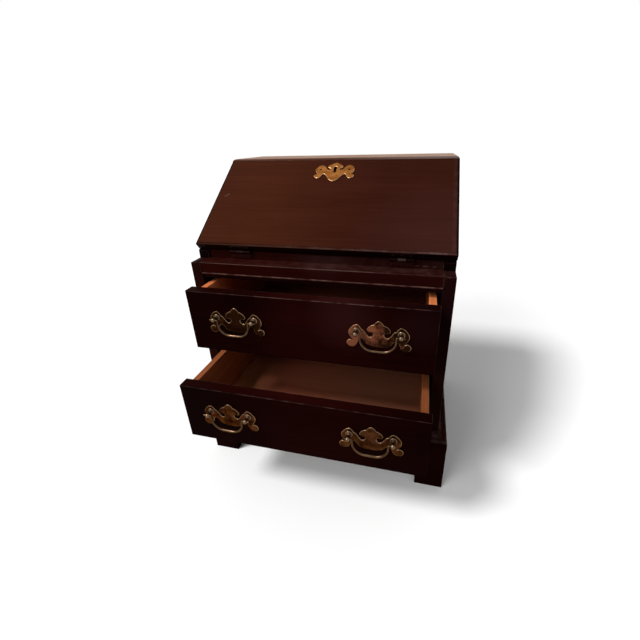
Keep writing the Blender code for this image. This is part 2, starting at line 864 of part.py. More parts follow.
def bail_path():
    """Half of the bail from its left end to the middle of its bar, as (x, z, radius)."""
    post = post_spread / 2
    end = post + post_ball_radius + bail_end_reach
    leg = post - post_ball_radius - bail_bend - run_gap
    ends = [(-end, 0), (-post, 0)]
    bend = arc((-leg - bail_bend, -bail_bend), (bail_bend, bail_bend), 90, 0)
    corner_middle = (-leg + bail_corner, bail_corner - bail_drop)
    corner = arc(corner_middle, (bail_corner, bail_corner), 180, 270, long_arc_steps)
    half_bar = leg - bail_corner
    bar = [(-half_bar / 2, -bail_drop), (0, -bail_drop)]
    path = [(x, z, bail_end_radius) for x, z in ends + bend[:1]]
    swell = len(corner) + len(bar)
    path += [(x, z, bail_end_radius + (bail_radius - bail_end_radius) * (i + 1) / arc_steps)
             for i, (x, z) in enumerate(bend[1:])]
    path += [(x, z, bail_radius + (bail_bar_radius - bail_radius) * (i + 1) / swell)
             for i, (x, z) in enumerate(corner + bar)]
    return path


def make_bail(name):
    half = bail_path()
    path = half + [(-x, z, radius) for x, z, radius in reversed(half[:-1])]
    curve = bpy.data.curves.new(name, "CURVE")
    curve.dimensions = "3D"
    curve.bevel_depth = 1.0
    curve.bevel_resolution = bail_facets
    curve.use_fill_caps = True
    spline = curve.splines.new("POLY")
    spline.points.add(len(path) - 1)
    for point, (x, z, radius) in zip(spline.points, path):
        point.co = (x, 0, z, 1)
        point.radius = radius
    return add_object(name, curve, antique_brass)


def make_pull(prefix, drawer, x, z):
    seat = add_empty(prefix + "_seat", (x, 0, z), drawer)
    upright = math.radians(90)
    posts = [side * post_spread / 2 for side in (-1, 1)]
    holes = [circle((post, 0), shank_radius + shank_gap) for post in posts]
    plate = flat_plate(prefix + "_plate", pull_outline(), holes, plate_thickness, antique_brass)
    plate.rotation_euler.x = upright
    plate.location.y = -fit_gap - plate_thickness / 2
    plate.parent = seat
    for label, post_x in zip(("left", "right"), posts):
        post = turned(prefix + "_post_" + label, post_profile(), antique_brass)
        reach = 2 * post_ball_radius
        cut(post, rod("eye", bail_end_radius + fit_gap, -reach, reach, (0, post_pivot)))
        post.rotation_euler.x = upright
        post.location = (post_x, -plate_face - fit_gap, 0)
        post.parent = seat
    bail = make_bail(prefix + "_bail")
    bail.location.y = -pivot_reach
    bail.parent = seat


def tongue(side, room=0.0):
    """The dovetailed tongue on the front end of a drawer's side, in (x, y)."""
    middle = side * (side_outer + side_inner) / 2
    neck = tongue_neck / 2 + room
    tip = tongue_tip / 2 + room
    neck_y = front_thickness + fit_gap
    tip_y = front_thickness - tongue_length - room
    return [(middle - neck, neck_y), (middle - tip, tip_y), (middle + tip, tip_y), (middle + neck, neck_y)]


def make_drawer(prefix, z, height, pull_out):
    """A drawer in its own frame: the face of its front at y = 0, the foot of its front at z = 0."""
    drawer = add_empty(prefix, (0, -pull_out, z), desk)
    panel_half = side_inner + groove_depth - fit_gap
    panel_top = drawer_bottom_rise + drawer_bottom_thickness
    panel_low = (-panel_half, front_thickness - groove_depth + fit_gap, drawer_bottom_rise)
    panel_high = (panel_half, drawer_length, panel_top)
    side_top = height - side_drop

    front_high = (front_half, front_thickness, height)
    front = board(prefix + "_front", (-front_half, 0, 0), front_high, drawer_front_wood, front_edge)
    cut(front, housing(panel_low, panel_high))
    pull_z = height / 2 + pull_rise
    for side in (-1, 1):
        cut(front, prism("groove", tongue(side, fit_gap), "Z", -height, side_top + fit_gap))
        for post in (-post_spread / 2, post_spread / 2):
            across = (side * pull_x + post, pull_z)
            drill = (shank_radius + shank_gap, -front_thickness, 2 * front_thickness)
            cut(front, rod("hole", *drill, across, "Y"))
    front.parent = drawer

    for label, side in (("left", -1), ("right", 1)):
        low_x, high_x = sorted((side * side_inner, side * side_outer))
        shoulder = front_thickness + fit_gap
        rear = [(high_x, shoulder), (high_x, drawer_length), (low_x, drawer_length), (low_x, shoulder)]
        section = rear + tongue(side)
        wall = prism(prefix + "_side_" + label, section, "Z", -slide_drop, side_top, secondary_wood)
        cut(wall, housing(panel_low, (panel_high[0], 2 * drawer_length, panel_high[2])))
        wall.parent = drawer
    back_low = (-side_inner + fit_gap, drawer_length - drawer_back_thickness, panel_top + fit_gap)
    back_high = (side_inner - fit_gap, drawer_length, side_top)
    board(prefix + "_back", back_low, back_high, secondary_wood).parent = drawer
    board(prefix + "_bottom", panel_low, panel_high, drawer_floor_wood).parent = drawer
    for label, side in (("left", -1), ("right", 1)):
        make_pull(prefix + "_" + label, drawer, side * pull_x, pull_z)


make_sides()
make_housed_boards()
make_top()
make_strike()
make_back()
make_ledge()
make_rails()
make_runners()
make_base()
make_pigeonholes()
make_hinges()
make_lid()
make_escutcheon()
make_drawer("upper_drawer", upper_drawer_z, upper_drawer_height, upper_pull_out)
make_drawer("lower_drawer", lower_drawer_z, lower_drawer_height, lower_pull_out)
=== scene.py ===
import json
import math

import bmesh
import bpy
from mathutils import Matrix, Vector
from mathutils.bvhtree import BVHTree

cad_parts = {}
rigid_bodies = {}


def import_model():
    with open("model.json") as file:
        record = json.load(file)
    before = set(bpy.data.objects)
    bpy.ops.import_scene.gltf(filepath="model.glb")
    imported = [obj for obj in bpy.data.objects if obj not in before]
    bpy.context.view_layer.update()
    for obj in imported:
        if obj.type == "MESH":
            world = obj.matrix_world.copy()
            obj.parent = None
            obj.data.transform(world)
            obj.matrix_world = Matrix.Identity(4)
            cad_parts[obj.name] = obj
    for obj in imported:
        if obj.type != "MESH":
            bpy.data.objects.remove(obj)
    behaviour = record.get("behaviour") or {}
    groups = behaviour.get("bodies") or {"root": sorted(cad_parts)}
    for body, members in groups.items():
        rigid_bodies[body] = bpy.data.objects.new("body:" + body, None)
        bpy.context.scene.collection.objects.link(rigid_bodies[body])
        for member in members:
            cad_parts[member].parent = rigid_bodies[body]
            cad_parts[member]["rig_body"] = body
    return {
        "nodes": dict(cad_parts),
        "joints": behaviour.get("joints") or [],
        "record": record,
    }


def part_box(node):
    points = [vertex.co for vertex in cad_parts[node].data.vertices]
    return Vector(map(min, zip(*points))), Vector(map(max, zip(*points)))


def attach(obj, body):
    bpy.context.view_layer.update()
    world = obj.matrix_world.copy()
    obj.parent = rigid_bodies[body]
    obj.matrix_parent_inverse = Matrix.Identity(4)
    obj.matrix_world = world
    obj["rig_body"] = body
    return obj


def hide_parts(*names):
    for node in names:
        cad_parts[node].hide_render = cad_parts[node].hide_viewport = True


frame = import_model()
cadNodes = frame["nodes"]
joints = {joint["name"]: joint for joint in frame["joints"]}
slotOf = {part["node"]: part["material_slot"] for part in frame["record"]["subparts"]}
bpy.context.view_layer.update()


def addObject(name, data):
    made = bpy.data.objects.new(name, data)
    bpy.context.scene.collection.objects.link(made)
    return made


camera = {
    "place": (0.1656, -0.5880, 0.6014),
    "heading": 14.04,  # degrees to the left of straight at the desk
    "tilt": 24.26,  # degrees down
    "roll": -1.52,
    "focalPixels": 344.0,
    "axisPixel": (338.9, 296.7),  # where the lens axis meets the picture
    "picturePixels": 640,
    "sensor": 36.0,  # millimetres
    "nearest": 0.01,  # what is closer isn't drawn
}


def addCamera():
    pixels = camera["picturePixels"]
    data = bpy.data.cameras.new("view")
    data.sensor_width = camera["sensor"]
    data.lens = camera["focalPixels"] / pixels * camera["sensor"]
    data.shift_x = 0.5 - camera["axisPixel"][0] / pixels
    data.shift_y = camera["axisPixel"][1] / pixels - 0.5
    data.clip_start = camera["nearest"]
    view = addObject("view", data)
    turn = Matrix.Rotation(math.radians(camera["heading"]), 4, "Z")
    nod = Matrix.Rotation(math.radians(90 - camera["tilt"]), 4, "X")
    lean = Matrix.Rotation(math.radians(camera["roll"]), 4, "Z")
    view.matrix_world = Matrix.Translation(camera["place"]) @ turn @ nod @ lean
    bpy.context.scene.camera = view
    print("camera: placed")


# shader helpers
noiseSpan = (0.30, 0.70)  # most of a noise lies between these


def setInputs(tree, made, inputs):
    for name, value in inputs.items():
        if isinstance(value, bpy.types.NodeSocket):
            tree.links.new(value, made.inputs[name])
        else:
            made.inputs[name].default_value = value


def shaderNode(tree, kind, inputs=None, **settings):
    made = tree.nodes.new(kind)
    for name, value in settings.items():
        setattr(made, name, value)
    setInputs(tree, made, inputs or {})
    return made


def objectPlace(tree):
    return shaderNode(tree, "ShaderNodeTexCoord").outputs["Object"]


def axisOf(tree, place, axis):
    return shaderNode(tree, "ShaderNodeSeparateXYZ", {"Vector": place}).outputs[axis]


def painted(tree, name):
    return shaderNode(tree, "ShaderNodeAttribute", attribute_name=name).outputs["Fac"]


def noise(tree, place, scale, detail, roughness, distortion=0.0):
    spread = shaderNode(tree, "ShaderNodeMapping", {"Vector": place, "Scale": scale})
    settings = {"Vector": spread.outputs["Vector"], "Scale": 1.0, "Detail": detail}
    settings.update({"Roughness": roughness, "Distortion": distortion})
    return shaderNode(tree, "ShaderNodeTexNoise", settings).outputs["Fac"]


def remap(tree, value, low, high, newLow=0.0, newHigh=1.0):
    settings = {"Value": value, "From Min": low, "From Max": high, "To Min": newLow, "To Max": newHigh}
    return shaderNode(tree, "ShaderNodeMapRange", settings).outputs["Result"]


def maths(tree, operation, first, second=0.0):
    return shaderNode(tree, "ShaderNodeMath", {0: first, 1: second}, operation=operation).outputs[0]


def vectorMaths(tree, operation, first, second, output="Vector"):
    settings = {0: first, "Scale" if operation == "SCALE" else 1: second}
    return shaderNode(tree, "ShaderNodeVectorMath", settings, operation=operation).outputs[output]


def mixTone(tree, factor, first, second, blend="MIX"):
    settings = {0: factor, 6: first, 7: second}  # the sockets of its colour form
    return shaderNode(tree, "ShaderNodeMix", settings, data_type="RGBA", blend_type=blend).outputs[2]


def bump(tree, strength, distance, height):
    settings = {"Strength": strength, "Distance": distance, "Height": height}
    return shaderNode(tree, "ShaderNodeBump", settings).outputs["Normal"]


def newFinish(name):
    finish = bpy.data.materials.new(name)
    finish.use_nodes = True
    tree = finish.node_tree
    return finish, tree, tree.nodes["Principled BSDF"]


def rgba(tone):
    return (*tone, 1.0)


# wood: deep and pale run along the grain, and bare is where the lacquer has worn
# a shading patch is a soft patch of painted light or shade, such as a reflection, a lit spot or a shadow:
# its middle, reach, tone and share
# a scratch is its start, its end and its width
lacquered = {
    "slot": "mahogany",
    "bare": (0.170, 0.0950, 0.0800),
    "roughness": 0.44,
    "specular": 0.008,
    "tint": (1.0, 0.60, 0.50),  # of its gloss
    "bump": 0.10,
}
sealed = {
    "slot": "drawer_wood",
    "bare": (0.420, 0.2000, 0.0900),
    "roughness": 0.55,
    "specular": 0.05,
    "tint": (1.0, 0.80, 0.60),
    "bump": 0.16,
}
stained = {
    "slot": "drawer_floor",
    "bare": (0.240, 0.1200, 0.0700),
    "roughness": 0.60,
    "specular": 0.04,
    "tint": (1.0, 0.80, 0.65),
    "bump": 0.10,
}
woods = {
    "lid": {
        **lacquered,
        "deep": (0.026, 0.0046, 0.0018),
        "pale": (0.052, 0.0124, 0.0060),
        "bare": (0.180, 0.1150, 0.1050),
        # painted reflection: a soft mauve patch of light on the right of the lid
        "shadingPatches": [((0.194, -0.063, 0.453), 0.15, (0.046, 0.0165, 0.0140), 0.38)],
        "figure": 0.30,
        "streaks": 0.50,
        "sideLight": ((1.16, 1.27, 1.10), (0.73, 0.71, 0.88)),  # painted light: paler at the left, where the light comes from, and darker at the right
        "scratches": [((-0.2036, 0.0156, 0.5112), (-0.1956, 0.0227, 0.5166), 0.0008)],
        "roughness": 0.40,
        "specular": 0.012,
        "tint": (1.0, 0.60, 0.45),
    },
    "top": {
        **lacquered,
        "deep": (0.030, 0.0060, 0.0022),
        "pale": (0.072, 0.0190, 0.0080),
        "bare": (0.230, 0.1150, 0.0700),
        # painted reflection: a pale grey glaze of light on the right end of the top
        "shadingPatches": [((0.215, 0.165, 0.574), 0.22, (0.17, 0.150, 0.135), 0.50)],
        "roughness": 0.34,
        "specular": 0.07,
        "sheen": (0.86, 0.46, 0.26),
        "tint": (1.0, 0.72, 0.55),
        "bump": 0.06,
    },
    "case": {
        **lacquered,
        "deep": (0.012, 0.0020, 0.0014),
        "pale": (0.032, 0.0070, 0.0046),
        # painted light: a purple cast on the right stile's front
        "shadingPatches": [((0.211, -0.097, 0.370), 0.09, (0.014, 0.0042, 0.0060), 0.60)],
    },
    "ledge": {
        **lacquered,
        "deep": (0.012, 0.0011, 0.0007),
        "pale": (0.033, 0.0042, 0.0024),
        # painted light: cooler and darker to the right of the ledge and the riser
        "sideLight": ((1.08, 1.00, 1.00), (0.80, 0.90, 1.30)),
        # painted reflection: a pale patch on the middle of the riser
        "shadingPatches": [((0.015, -0.0500, 0.450), 0.072, (0.046, 0.0180, 0.0170), 0.75)],
        "shadingPatchTop": 0.4308,  # the face of the writing board stays clear
        "scratches": [
            ((-0.195, -0.0950, 0.4173), (-0.010, -0.0952, 0.4172), 0.0012),
            ((-0.020, -0.0952, 0.4172), (0.110, -0.0948, 0.4174), 0.0015),
            ((0.158, -0.0654, 0.4215), (0.166, -0.0654, 0.4215), 0.0007),
            ((0.170, -0.0654, 0.4213), (0.179, -0.0654, 0.4215), 0.0008),
            ((0.185, -0.0654, 0.4213), (0.192, -0.0654, 0.4212), 0.0008),
        ],
    },
    "base": {
        **lacquered,
        "deep": (0.0074, 0.0009, 0.0007),
        "pale": (0.018, 0.0026, 0.0020),
        "bare": (0.150, 0.0900, 0.0800),
        # painted light on the upper right end of the base front
        "shadingPatches": [((0.218, -0.113, 0.098), 0.06, (0.030, 0.0044, 0.0032), 0.80)],
        "specular": 0.003,
    },
    "drawer_front": {
        "slot": "drawer_front",
        "ends": 0.46,  # painted shade towards its ends: what is left of its tone there
        "deep": (0.0068, 0.0007, 0.0006),
        "pale": (0.0176, 0.0023, 0.0018),
        "bare": (0.125, 0.0650, 0.0560),
        # painted sheen in the middle of the upper front, a paler cast at its right, and a painted shadow at
        # its top left
        "shadingPatches": [
            ((0.065, -0.1560, 0.364), 0.065, (0.024, 0.0056, 0.0056), 0.85),
            ((0.180, -0.1560, 0.360), 0.05, (0.020, 0.0060, 0.0076), 0.50),
            ((-0.100, -0.1515, 0.384), 0.07, (0.006, 0.0005, 0.0006), 0.80),
        ],
        "roughness": 0.42,
        "specular": 0.004,
        "tint": (1.0, 0.50, 0.45),
        "bump": 0.08,
    },
    "drawer_wood": {
        **sealed,
        "deep": (0.195, 0.0460, 0.0138),
        "pale": (0.364, 0.1062, 0.0358),
        "figure": 0.30,
        "streaks": 0.90,
        "linesScale": (5.0, 170.0),
    },
    "drawer_floor": {
        **stained,
        "deep": (0.125, 0.0400, 0.0180),
        "pale": (0.200, 0.0700, 0.0320),
        # painted light: lifts the floor, most at its left
        "sideLight": ((1.50, 1.15, 1.30), (1.25, 1.30, 1.48)),
        # painted shade over the floor's lit patch, and painted light on the strip that its left side shades
        "shadingPatches": [
            ((-0.128, -0.082, 0.157), 0.055, (0.110, 0.0400, 0.0190), 0.65),
            ((-0.195, -0.030, 0.157), 0.080, (0.60, 0.210, 0.075), 0.92),
            ((-0.195, -0.110, 0.157), 0.080, (0.60, 0.210, 0.075), 0.92),
        ],
    },
    # the upper drawer's inside: redder copies of the drawer wood and floor, painting the red light bounced
    # into its deep shade
    "inner_wood": {
        **sealed,
        "deep": (0.160, 0.0290, 0.0095),
        "pale": (0.310, 0.0660, 0.0230),
        # painted light on the front of its left side
        "shadingPatches": [((-0.183, -0.112, 0.384), 0.085, (0.660, 0.1800, 0.0650), 0.95)],
    },
    "inner_floor": {
        **stained,
        "deep": (0.122, 0.0330, 0.0145),
        "pale": (0.200, 0.0570, 0.0260),
        # painted light, most at the left
        "sideLight": ((1.60, 1.45, 1.40), (0.92, 0.82, 1.00)),
    },
}
grain = {  # noises: scales along and across the grain, detail, roughness and distortion
    "figure": ((2.4, 24.0), 3.0, 0.55, 0.6),
    "lines": ((7.0, 420.0), 5.0, 0.60, 0.0),
    "pores": ((80.0, 1700.0), 2.0, 0.55, 0.0),
    "mottle": ((16.0, 16.0), 3.0, 0.55, 0.0),
    "patches": ((60.0, 60.0), 4.0, 0.55, 0.0),
}
woodLook = {
    "figure": 0.45,  # shares of the pale tone
    "streaks": 0.40,
    "mottle": 0.25,
    "streakSpan": (0.28, 0.72),  # of the noise, from none to full
    "poreSpan": (0.60, 0.72),
    "patchSpan": (0.40, 0.62),
    "poreDepth": 0.55,  # how far a pore goes to the deep tone
    "patchWear": (0.16, 0.90),  # how far wear shows in a sound patch and in a bare one
    "scratchWear": 0.55,  # how far a scratch goes down to bare wood
    "scratchFade": 0.15,  # share of its length that fades out at each end
    "sideLightReach": 0.10,  # from the middle to where the painted side light is full
    "shadingPatchCore": 0.2,  # share of its reach that has the full tone
    "shadingPatchFade": 0.0008,  # under a shading patch's top
    "endShadeMiddle": 0.03,  # painted end shade: a board keeps its tone here, and
    "endShadeSpan": (0.04, 0.20),  # loses it between these to each side
    "lineGloss": 0.04,  # how far the roughness swings
    "mottleGloss": 0.05,
    "lineHeight": 0.5,  # against the depth of a pore
    "relief": 0.0004,
    "sheenRoughness": 0.3,
}


def scratchMask(tree, wood, place, start, end, width):
    run = Vector(end) - Vector(start)
    away = vectorMaths(tree, "SUBTRACT", place, start)
    along = vectorMaths(tree, "DOT_PRODUCT", away, run, "Value")
    share = remap(tree, along, 0.0, run.length_squared)
    foot = vectorMaths(tree, "SCALE", run, share)
    gap = vectorMaths(tree, "DISTANCE", away, foot, "Value")
    toEnd = maths(tree, "MINIMUM", share, maths(tree, "SUBTRACT", 1.0, share))
    line = remap(tree, gap, width / 2, width, wood["scratchWear"], 0.0)
    return maths(tree, "MULTIPLY", line, remap(tree, toEnd, 0.0, wood["scratchFade"]))


def grainLayers(tree, wood, place, along):
    layers = {}
    for name, (scale, *settings) in grain.items():
        lengthways, crossways = wood.get(name + "Scale", scale)
        scales = [lengthways if axis == along else crossways for axis in "XYZ"]
        layers[name] = noise(tree, place, scales, *settings)
    layers["pores"] = remap(tree, layers["pores"], *wood["poreSpan"])
    return layers


def grainTone(tree, wood, layers):
    deep = rgba(wood["deep"])
    bands = remap(tree, layers["figure"], *noiseSpan)
    streaks = remap(tree, layers["lines"], *wood["streakSpan"])
    bands = maths(tree, "MULTIPLY", bands, wood["figure"])
    streaks = maths(tree, "MULTIPLY", streaks, wood["streaks"])
    mottle = maths(tree, "MULTIPLY", layers["mottle"], wood["mottle"])
    share = maths(tree, "ADD", maths(tree, "ADD", bands, streaks), mottle)
    tone = mixTone(tree, share, deep, rgba(wood["pale"]))
    return mixTone(tree, maths(tree, "MULTIPLY", layers["pores"], wood["poreDepth"]), tone, deep)


# painted light and shade across a board: its tone is scaled from the left pair to the right one
def sideLit(tree, wood, place, tone):
    left, right = wood["sideLight"]
    reach = wood["sideLightReach"]
    share = remap(tree, axisOf(tree, place, "X"), -reach, reach)
    return mixTone(tree, 1.0, tone, mixTone(tree, share, rgba(left), rgba(right)), "MULTIPLY")


# painted light and shade: soft patches of another tone laid over the wood
def shadingPatched(tree, wood, place, tone):
    for middle, reach, patchTone, share in wood.get("shadingPatches", []):
        gap = vectorMaths(tree, "DISTANCE", place, middle, "Value")
        patch = remap(tree, gap, reach * wood["shadingPatchCore"], reach, share, 0.0)
        if "shadingPatchTop" in wood:
            top = wood["shadingPatchTop"]
            below = remap(tree, axisOf(tree, place, "Z"), top - wood["shadingPatchFade"], top, 1.0, 0.0)
            patch = maths(tree, "MULTIPLY", patch, below)
        tone = mixTone(tree, patch, tone, rgba(patchTone))
    return tone


def bareShare(tree, wood, place, patches):
    patchWear = remap(tree, patches, *wood["patchSpan"], *wood["patchWear"])
    share = maths(tree, "MULTIPLY", painted(tree, "wear"), patchWear)
    for scratch in wood.get("scratches", []):
        share = maths(tree, "MAXIMUM", share, scratchMask(tree, wood, place, *scratch))
    return share


# painted shade: the shade attribute darkens or pales a face, and a board with ends is darkened towards them
def shadeGain(tree, wood, place):
    gain = maths(tree, "SUBTRACT", 1.0, painted(tree, "shade"))
    if "ends" in wood:
        offset = maths(tree, "SUBTRACT", axisOf(tree, place, "X"), wood["endShadeMiddle"])
        away = maths(tree, "ABSOLUTE", offset)
        gain = maths(tree, "MULTIPLY", gain, remap(tree, away, *wood["endShadeSpan"], 1.0, wood["ends"]))
    return gain


def woodFinish(kind, along):
    wood = {**woodLook, **woods[kind]}
    finish, tree, shader = newFinish(kind + "_along_" + along)
    place = objectPlace(tree)
    layers = grainLayers(tree, wood, place, along)
    tone = grainTone(tree, wood, layers)
    if "sideLight" in wood:
        tone = sideLit(tree, wood, place, tone)
    tone = shadingPatched(tree, wood, place, tone)
    tone = mixTone(tree, bareShare(tree, wood, place, layers["patches"]), tone, rgba(wood["bare"]))

    def swing(layer, amount):
        return remap(tree, layers[layer], *noiseSpan, -amount, amount)

    gloss = maths(tree, "ADD", swing("lines", wood["lineGloss"]), swing("mottle", wood["mottleGloss"]))
    ridges = maths(tree, "MULTIPLY", layers["lines"], wood["lineHeight"])
    height = maths(tree, "SUBTRACT", ridges, layers["pores"])
    setInputs(tree, shader, {
        "Base Color": vectorMaths(tree, "SCALE", tone, shadeGain(tree, wood, place)),
        "Roughness": maths(tree, "ADD", gloss, wood["roughness"]),
        "Normal": bump(tree, wood["bump"], wood["relief"], height),
        "Specular IOR Level": wood["specular"],
        "Specular Tint": rgba(wood["tint"]),
    })
    if "sheen" in wood:
        setInputs(tree, shader, {
            "Sheen Weight": 1.0,
            "Sheen Roughness": wood["sheenRoughness"],
            "Sheen Tint": rgba(wood["sheen"]),
        })
    return finish


# metal: dull is the tarnish in the hollows, bright the rubbed edges, edge the tint at a glancing look
metals = {
    "plate_brass": {
        "slot": "antique_brass",
        "dull": (0.014, 0.0045, 0.0016),
        "tone": (0.056, 0.0205, 0.0082),
        "blush": (0.165, 0.0510, 0.0260),  # where the brass has gone coppery
        "bright": (0.340, 0.2100, 0.1150),
        "edge": (0.60, 0.42, 0.25),
        "roughness": 0.36,
    },
    "bail_brass": {
        "slot": "antique_brass",
        "dull": (0.030, 0.0165, 0.0085),
        "tone": (0.078, 0.0440, 0.0245),
        "bright": (0.340, 0.2300, 0.1450),
        "edge": (0.60, 0.43, 0.27),
        "roughness": 0.30,
    },
    "hinge_brass": {
        "slot": "antique_brass",
        "metallic": 0.4,  # lacquered over with the case
        "specular": 0.04,
        "dull": (0.0060, 0.0014, 0.0012),
        "tone": (0.0240, 0.0044, 0.0032),
        "bright": (0.160, 0.1000, 0.0900),
        "edge": (0.42, 0.36, 0.32),
        "roughness": 0.42,
    },
    "bright_brass": {
        "slot": "bright_brass",
        "dull": (0.150, 0.0500, 0.0105),
        "tone": (0.350, 0.1370, 0.0390),
        "bright": (0.520, 0.3350, 0.1900),
        "edge": (0.70, 0.50, 0.28),
        "roughness": 0.38,
    },
    "lock_steel": {
        "slot": "lock_steel",
        "dull": (0.050, 0.0470, 0.0440),
        "tone": (0.130, 0.1250, 0.1200),
        "bright": (0.320, 0.3100, 0.3000),
        "edge": (0.70, 0.70, 0.70),
        "roughness": 0.42,
    },
}
metalLook = {
    "cloud": ((90.0, 90.0, 90.0), 5.0, 0.62),  # scale, detail and roughness of the tarnish
    "speck": ((900.0, 900.0, 900.0), 3.0, 0.55),  # and of the fine dents
    "tarnishSpan": (0.36, 0.66),  # of the cloud, from clean to dull
    "rubbed": (0.95, 0.55),  # share of the wear that shows on clean and on dull metal
    "gloss": (-0.06, 0.10),  # added to the roughness of each
    "polish": 0.10,  # taken off it where the metal is rubbed
    "dents": (0.12, 0.0002),  # strength and depth
    "metallic": 1.0,
    "specular": 0.5,
}


def metalFinish(kind):
    metal = {**metalLook, **metals[kind]}
    finish, tree, shader = newFinish(kind)
    place = objectPlace(tree)
    cloud = noise(tree, place, *metal["cloud"])
    tarnish = remap(tree, maths(tree, "ADD", cloud, painted(tree, "age")), *metal["tarnishSpan"])
    clean = rgba(metal["tone"])
    if "blush" in metal:
        clean = mixTone(tree, painted(tree, "blush"), clean, rgba(metal["blush"]))
    tone = mixTone(tree, tarnish, clean, rgba(metal["dull"]))
    rubbed = maths(tree, "MULTIPLY", painted(tree, "wear"), remap(tree, cloud, *noiseSpan, *metal["rubbed"]))
    gloss = maths(tree, "ADD", remap(tree, cloud, *noiseSpan, *metal["gloss"]), metal["roughness"])
    polish = maths(tree, "MULTIPLY", rubbed, metal["polish"])
    setInputs(tree, shader, {
        "Base Color": mixTone(tree, rubbed, tone, rgba(metal["bright"])),
        "Roughness": maths(tree, "SUBTRACT", gloss, polish),
        "Normal": bump(tree, *metal["dents"], noise(tree, place, *metal["speck"])),
        "Metallic": metal["metallic"],
        "Specular IOR Level": metal["specular"],
        "Specular Tint": rgba(metal["edge"]),
    })
    return finish


finishes = {}


def finishFor(kind, along=""):
    if (kind, along) not in finishes:
        finishes[kind, along] = woodFinish(kind, along) if kind in woods else metalFinish(kind)
    return finishes[kind, along]


# mesh helpers
paintWidth = 0.44  # a pair of tones runs from the left to the right over this
mergeGap = 1e-6


def smoothPiece(piece, angle=38.0):
    piece.data.shade_smooth()
    piece.data.set_sharp_from_angle(angle=math.radians(angle))


def weighNormals(piece, angle=32.0):
    smoothPiece(piece, angle)
    modifier = piece.modifiers.new("flat faces stay flat", "WEIGHTED_NORMAL")
    modifier.keep_sharp = True


def setFinish(mesh, kind, along=""):
    mesh.materials.clear()
    mesh.materials.append(finishFor(kind, along))


def placePiece(name, mesh, kind, body, replaced=(), along=""):
    setFinish(mesh, kind, along)
    piece = addObject(name, mesh)
    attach(piece, body)
    if replaced:
        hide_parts(*replaced)
    return piece


def mergeDoubles(bm, gap=mergeGap):
    bmesh.ops.remove_doubles(bm, verts=bm.verts, dist=gap)


def bmeshFrom(mesh):
    bm = bmesh.new()
    bm.from_mesh(mesh)
    return bm


def meshFrom(bm, name):
    mergeDoubles(bm)
    bmesh.ops.recalc_face_normals(bm, faces=bm.faces)
    mesh = bpy.data.meshes.new(name)
    bm.to_mesh(mesh)
    bm.free()
    return mesh


def evaluatedMesh(shape):
    graph = bpy.context.evaluated_depsgraph_get()
    mesh = bpy.data.meshes.new_from_object(shape.evaluated_get(graph))
    bpy.data.objects.remove(shape)
    return mesh


def bmeshFromCurve(curve):
    mesh = evaluatedMesh(addObject(curve.name, curve))
    bpy.data.curves.remove(curve)
    bm = bmeshFrom(mesh)
    bpy.data.meshes.remove(mesh)
    mergeDoubles(bm)
    return bm


def cutAt(bm, spot, way):
    geom = bm.verts[:] + bm.edges[:] + bm.faces[:]
    bmesh.ops.bisect_plane(bm, geom=geom, plane_co=spot, plane_no=way)


def raiseFaces(bm, faces, rise, keepFaces=False):
    made = bmesh.ops.extrude_face_region(bm, geom=faces, use_keep_orig=keepFaces)["geom"]
    moved = [item for item in made if isinstance(item, bmesh.types.BMVert)]
    bmesh.ops.translate(bm, verts=moved, vec=(0, 0, rise))


def placed(mesh, matrix):
    copy = mesh.copy()
    copy.transform(matrix)
    return copy


def layerOf(bm, name):
    return bm.loops.layers.float.get(name) or bm.loops.layers.float.new(name)


def acrossTone(value, x):
    if not isinstance(value, tuple):
        return value
    left, right = value
    return left + (right - left) * (x / paintWidth + 0.5)


def paint(bm, name, valueOf, faces=None):
    layer = layerOf(bm, name)
    for face in bm.faces if faces is None else faces:
        value = valueOf(face)
        for loop in face.loops:
            loop[layer] = acrossTone(value, loop.vert.co.x)


# places on the lid, in its own axes: across, up the slope and out of its face
lidPlace = {"slope": math.radians(36.75), "topEdge": 0.2127, "thickness": 0.0135, "gap": 0.0003}


def onLid(x, up, out):
    hinge = Matrix.Translation(joints["lid_hinge"]["pos_m"])
    slope = Matrix.Rotation(lidPlace["slope"], 4, "X")
    return hinge @ slope @ Matrix.Translation((x, up, out))


# every board, and each leaf and pin of the hinges, is a copy of its solid, with the arrises
# that nothing covers eased
boards = {
    ("lid", "X"): ["lid_panel"],
    ("top", "X"): ["top_board"],
    ("case", "X"): ["upper_rail", "drawer_divider", "bottom_board", "gallery_shelf"],
    ("ledge", "X"): ["writing_board", "ledge_board"],
    ("case", "Z"): ["left_side_panel", "right_side_panel", "back_panel"],
    ("base", "X"): ["base_front", "base_back"],
    ("base", "Y"): ["base_left", "base_right"],
    ("drawer_front", "X"): ["upper_drawer_front", "lower_drawer_front"],
    ("drawer_wood", "X"): ["lower_drawer_back"],
    ("inner_wood", "X"): ["upper_drawer_back"],
    ("inner_wood", "Y"): ["upper_drawer_side_left"],
    ("drawer_wood", "Y"): [
        "upper_runner_left", "upper_runner_right", "lower_guide_left", "lower_guide_right",
        "upper_drawer_side_right", "lower_drawer_side_left", "lower_drawer_side_right",
    ],
    ("drawer_wood", "Z"): ["pigeonhole_divider_1", "pigeonhole_divider_2", "pigeonhole_divider_3"],
    ("drawer_floor", "X"): ["lower_drawer_bottom"],
    ("inner_floor", "X"): ["upper_drawer_bottom"],
    ("hinge_brass", ""): [
        "hinge_leaf_left", "hinge_leaf_right", "hinge_pin_left", "hinge_pin_right",
        "lid_leaf_left", "lid_leaf_right",
    ],
}
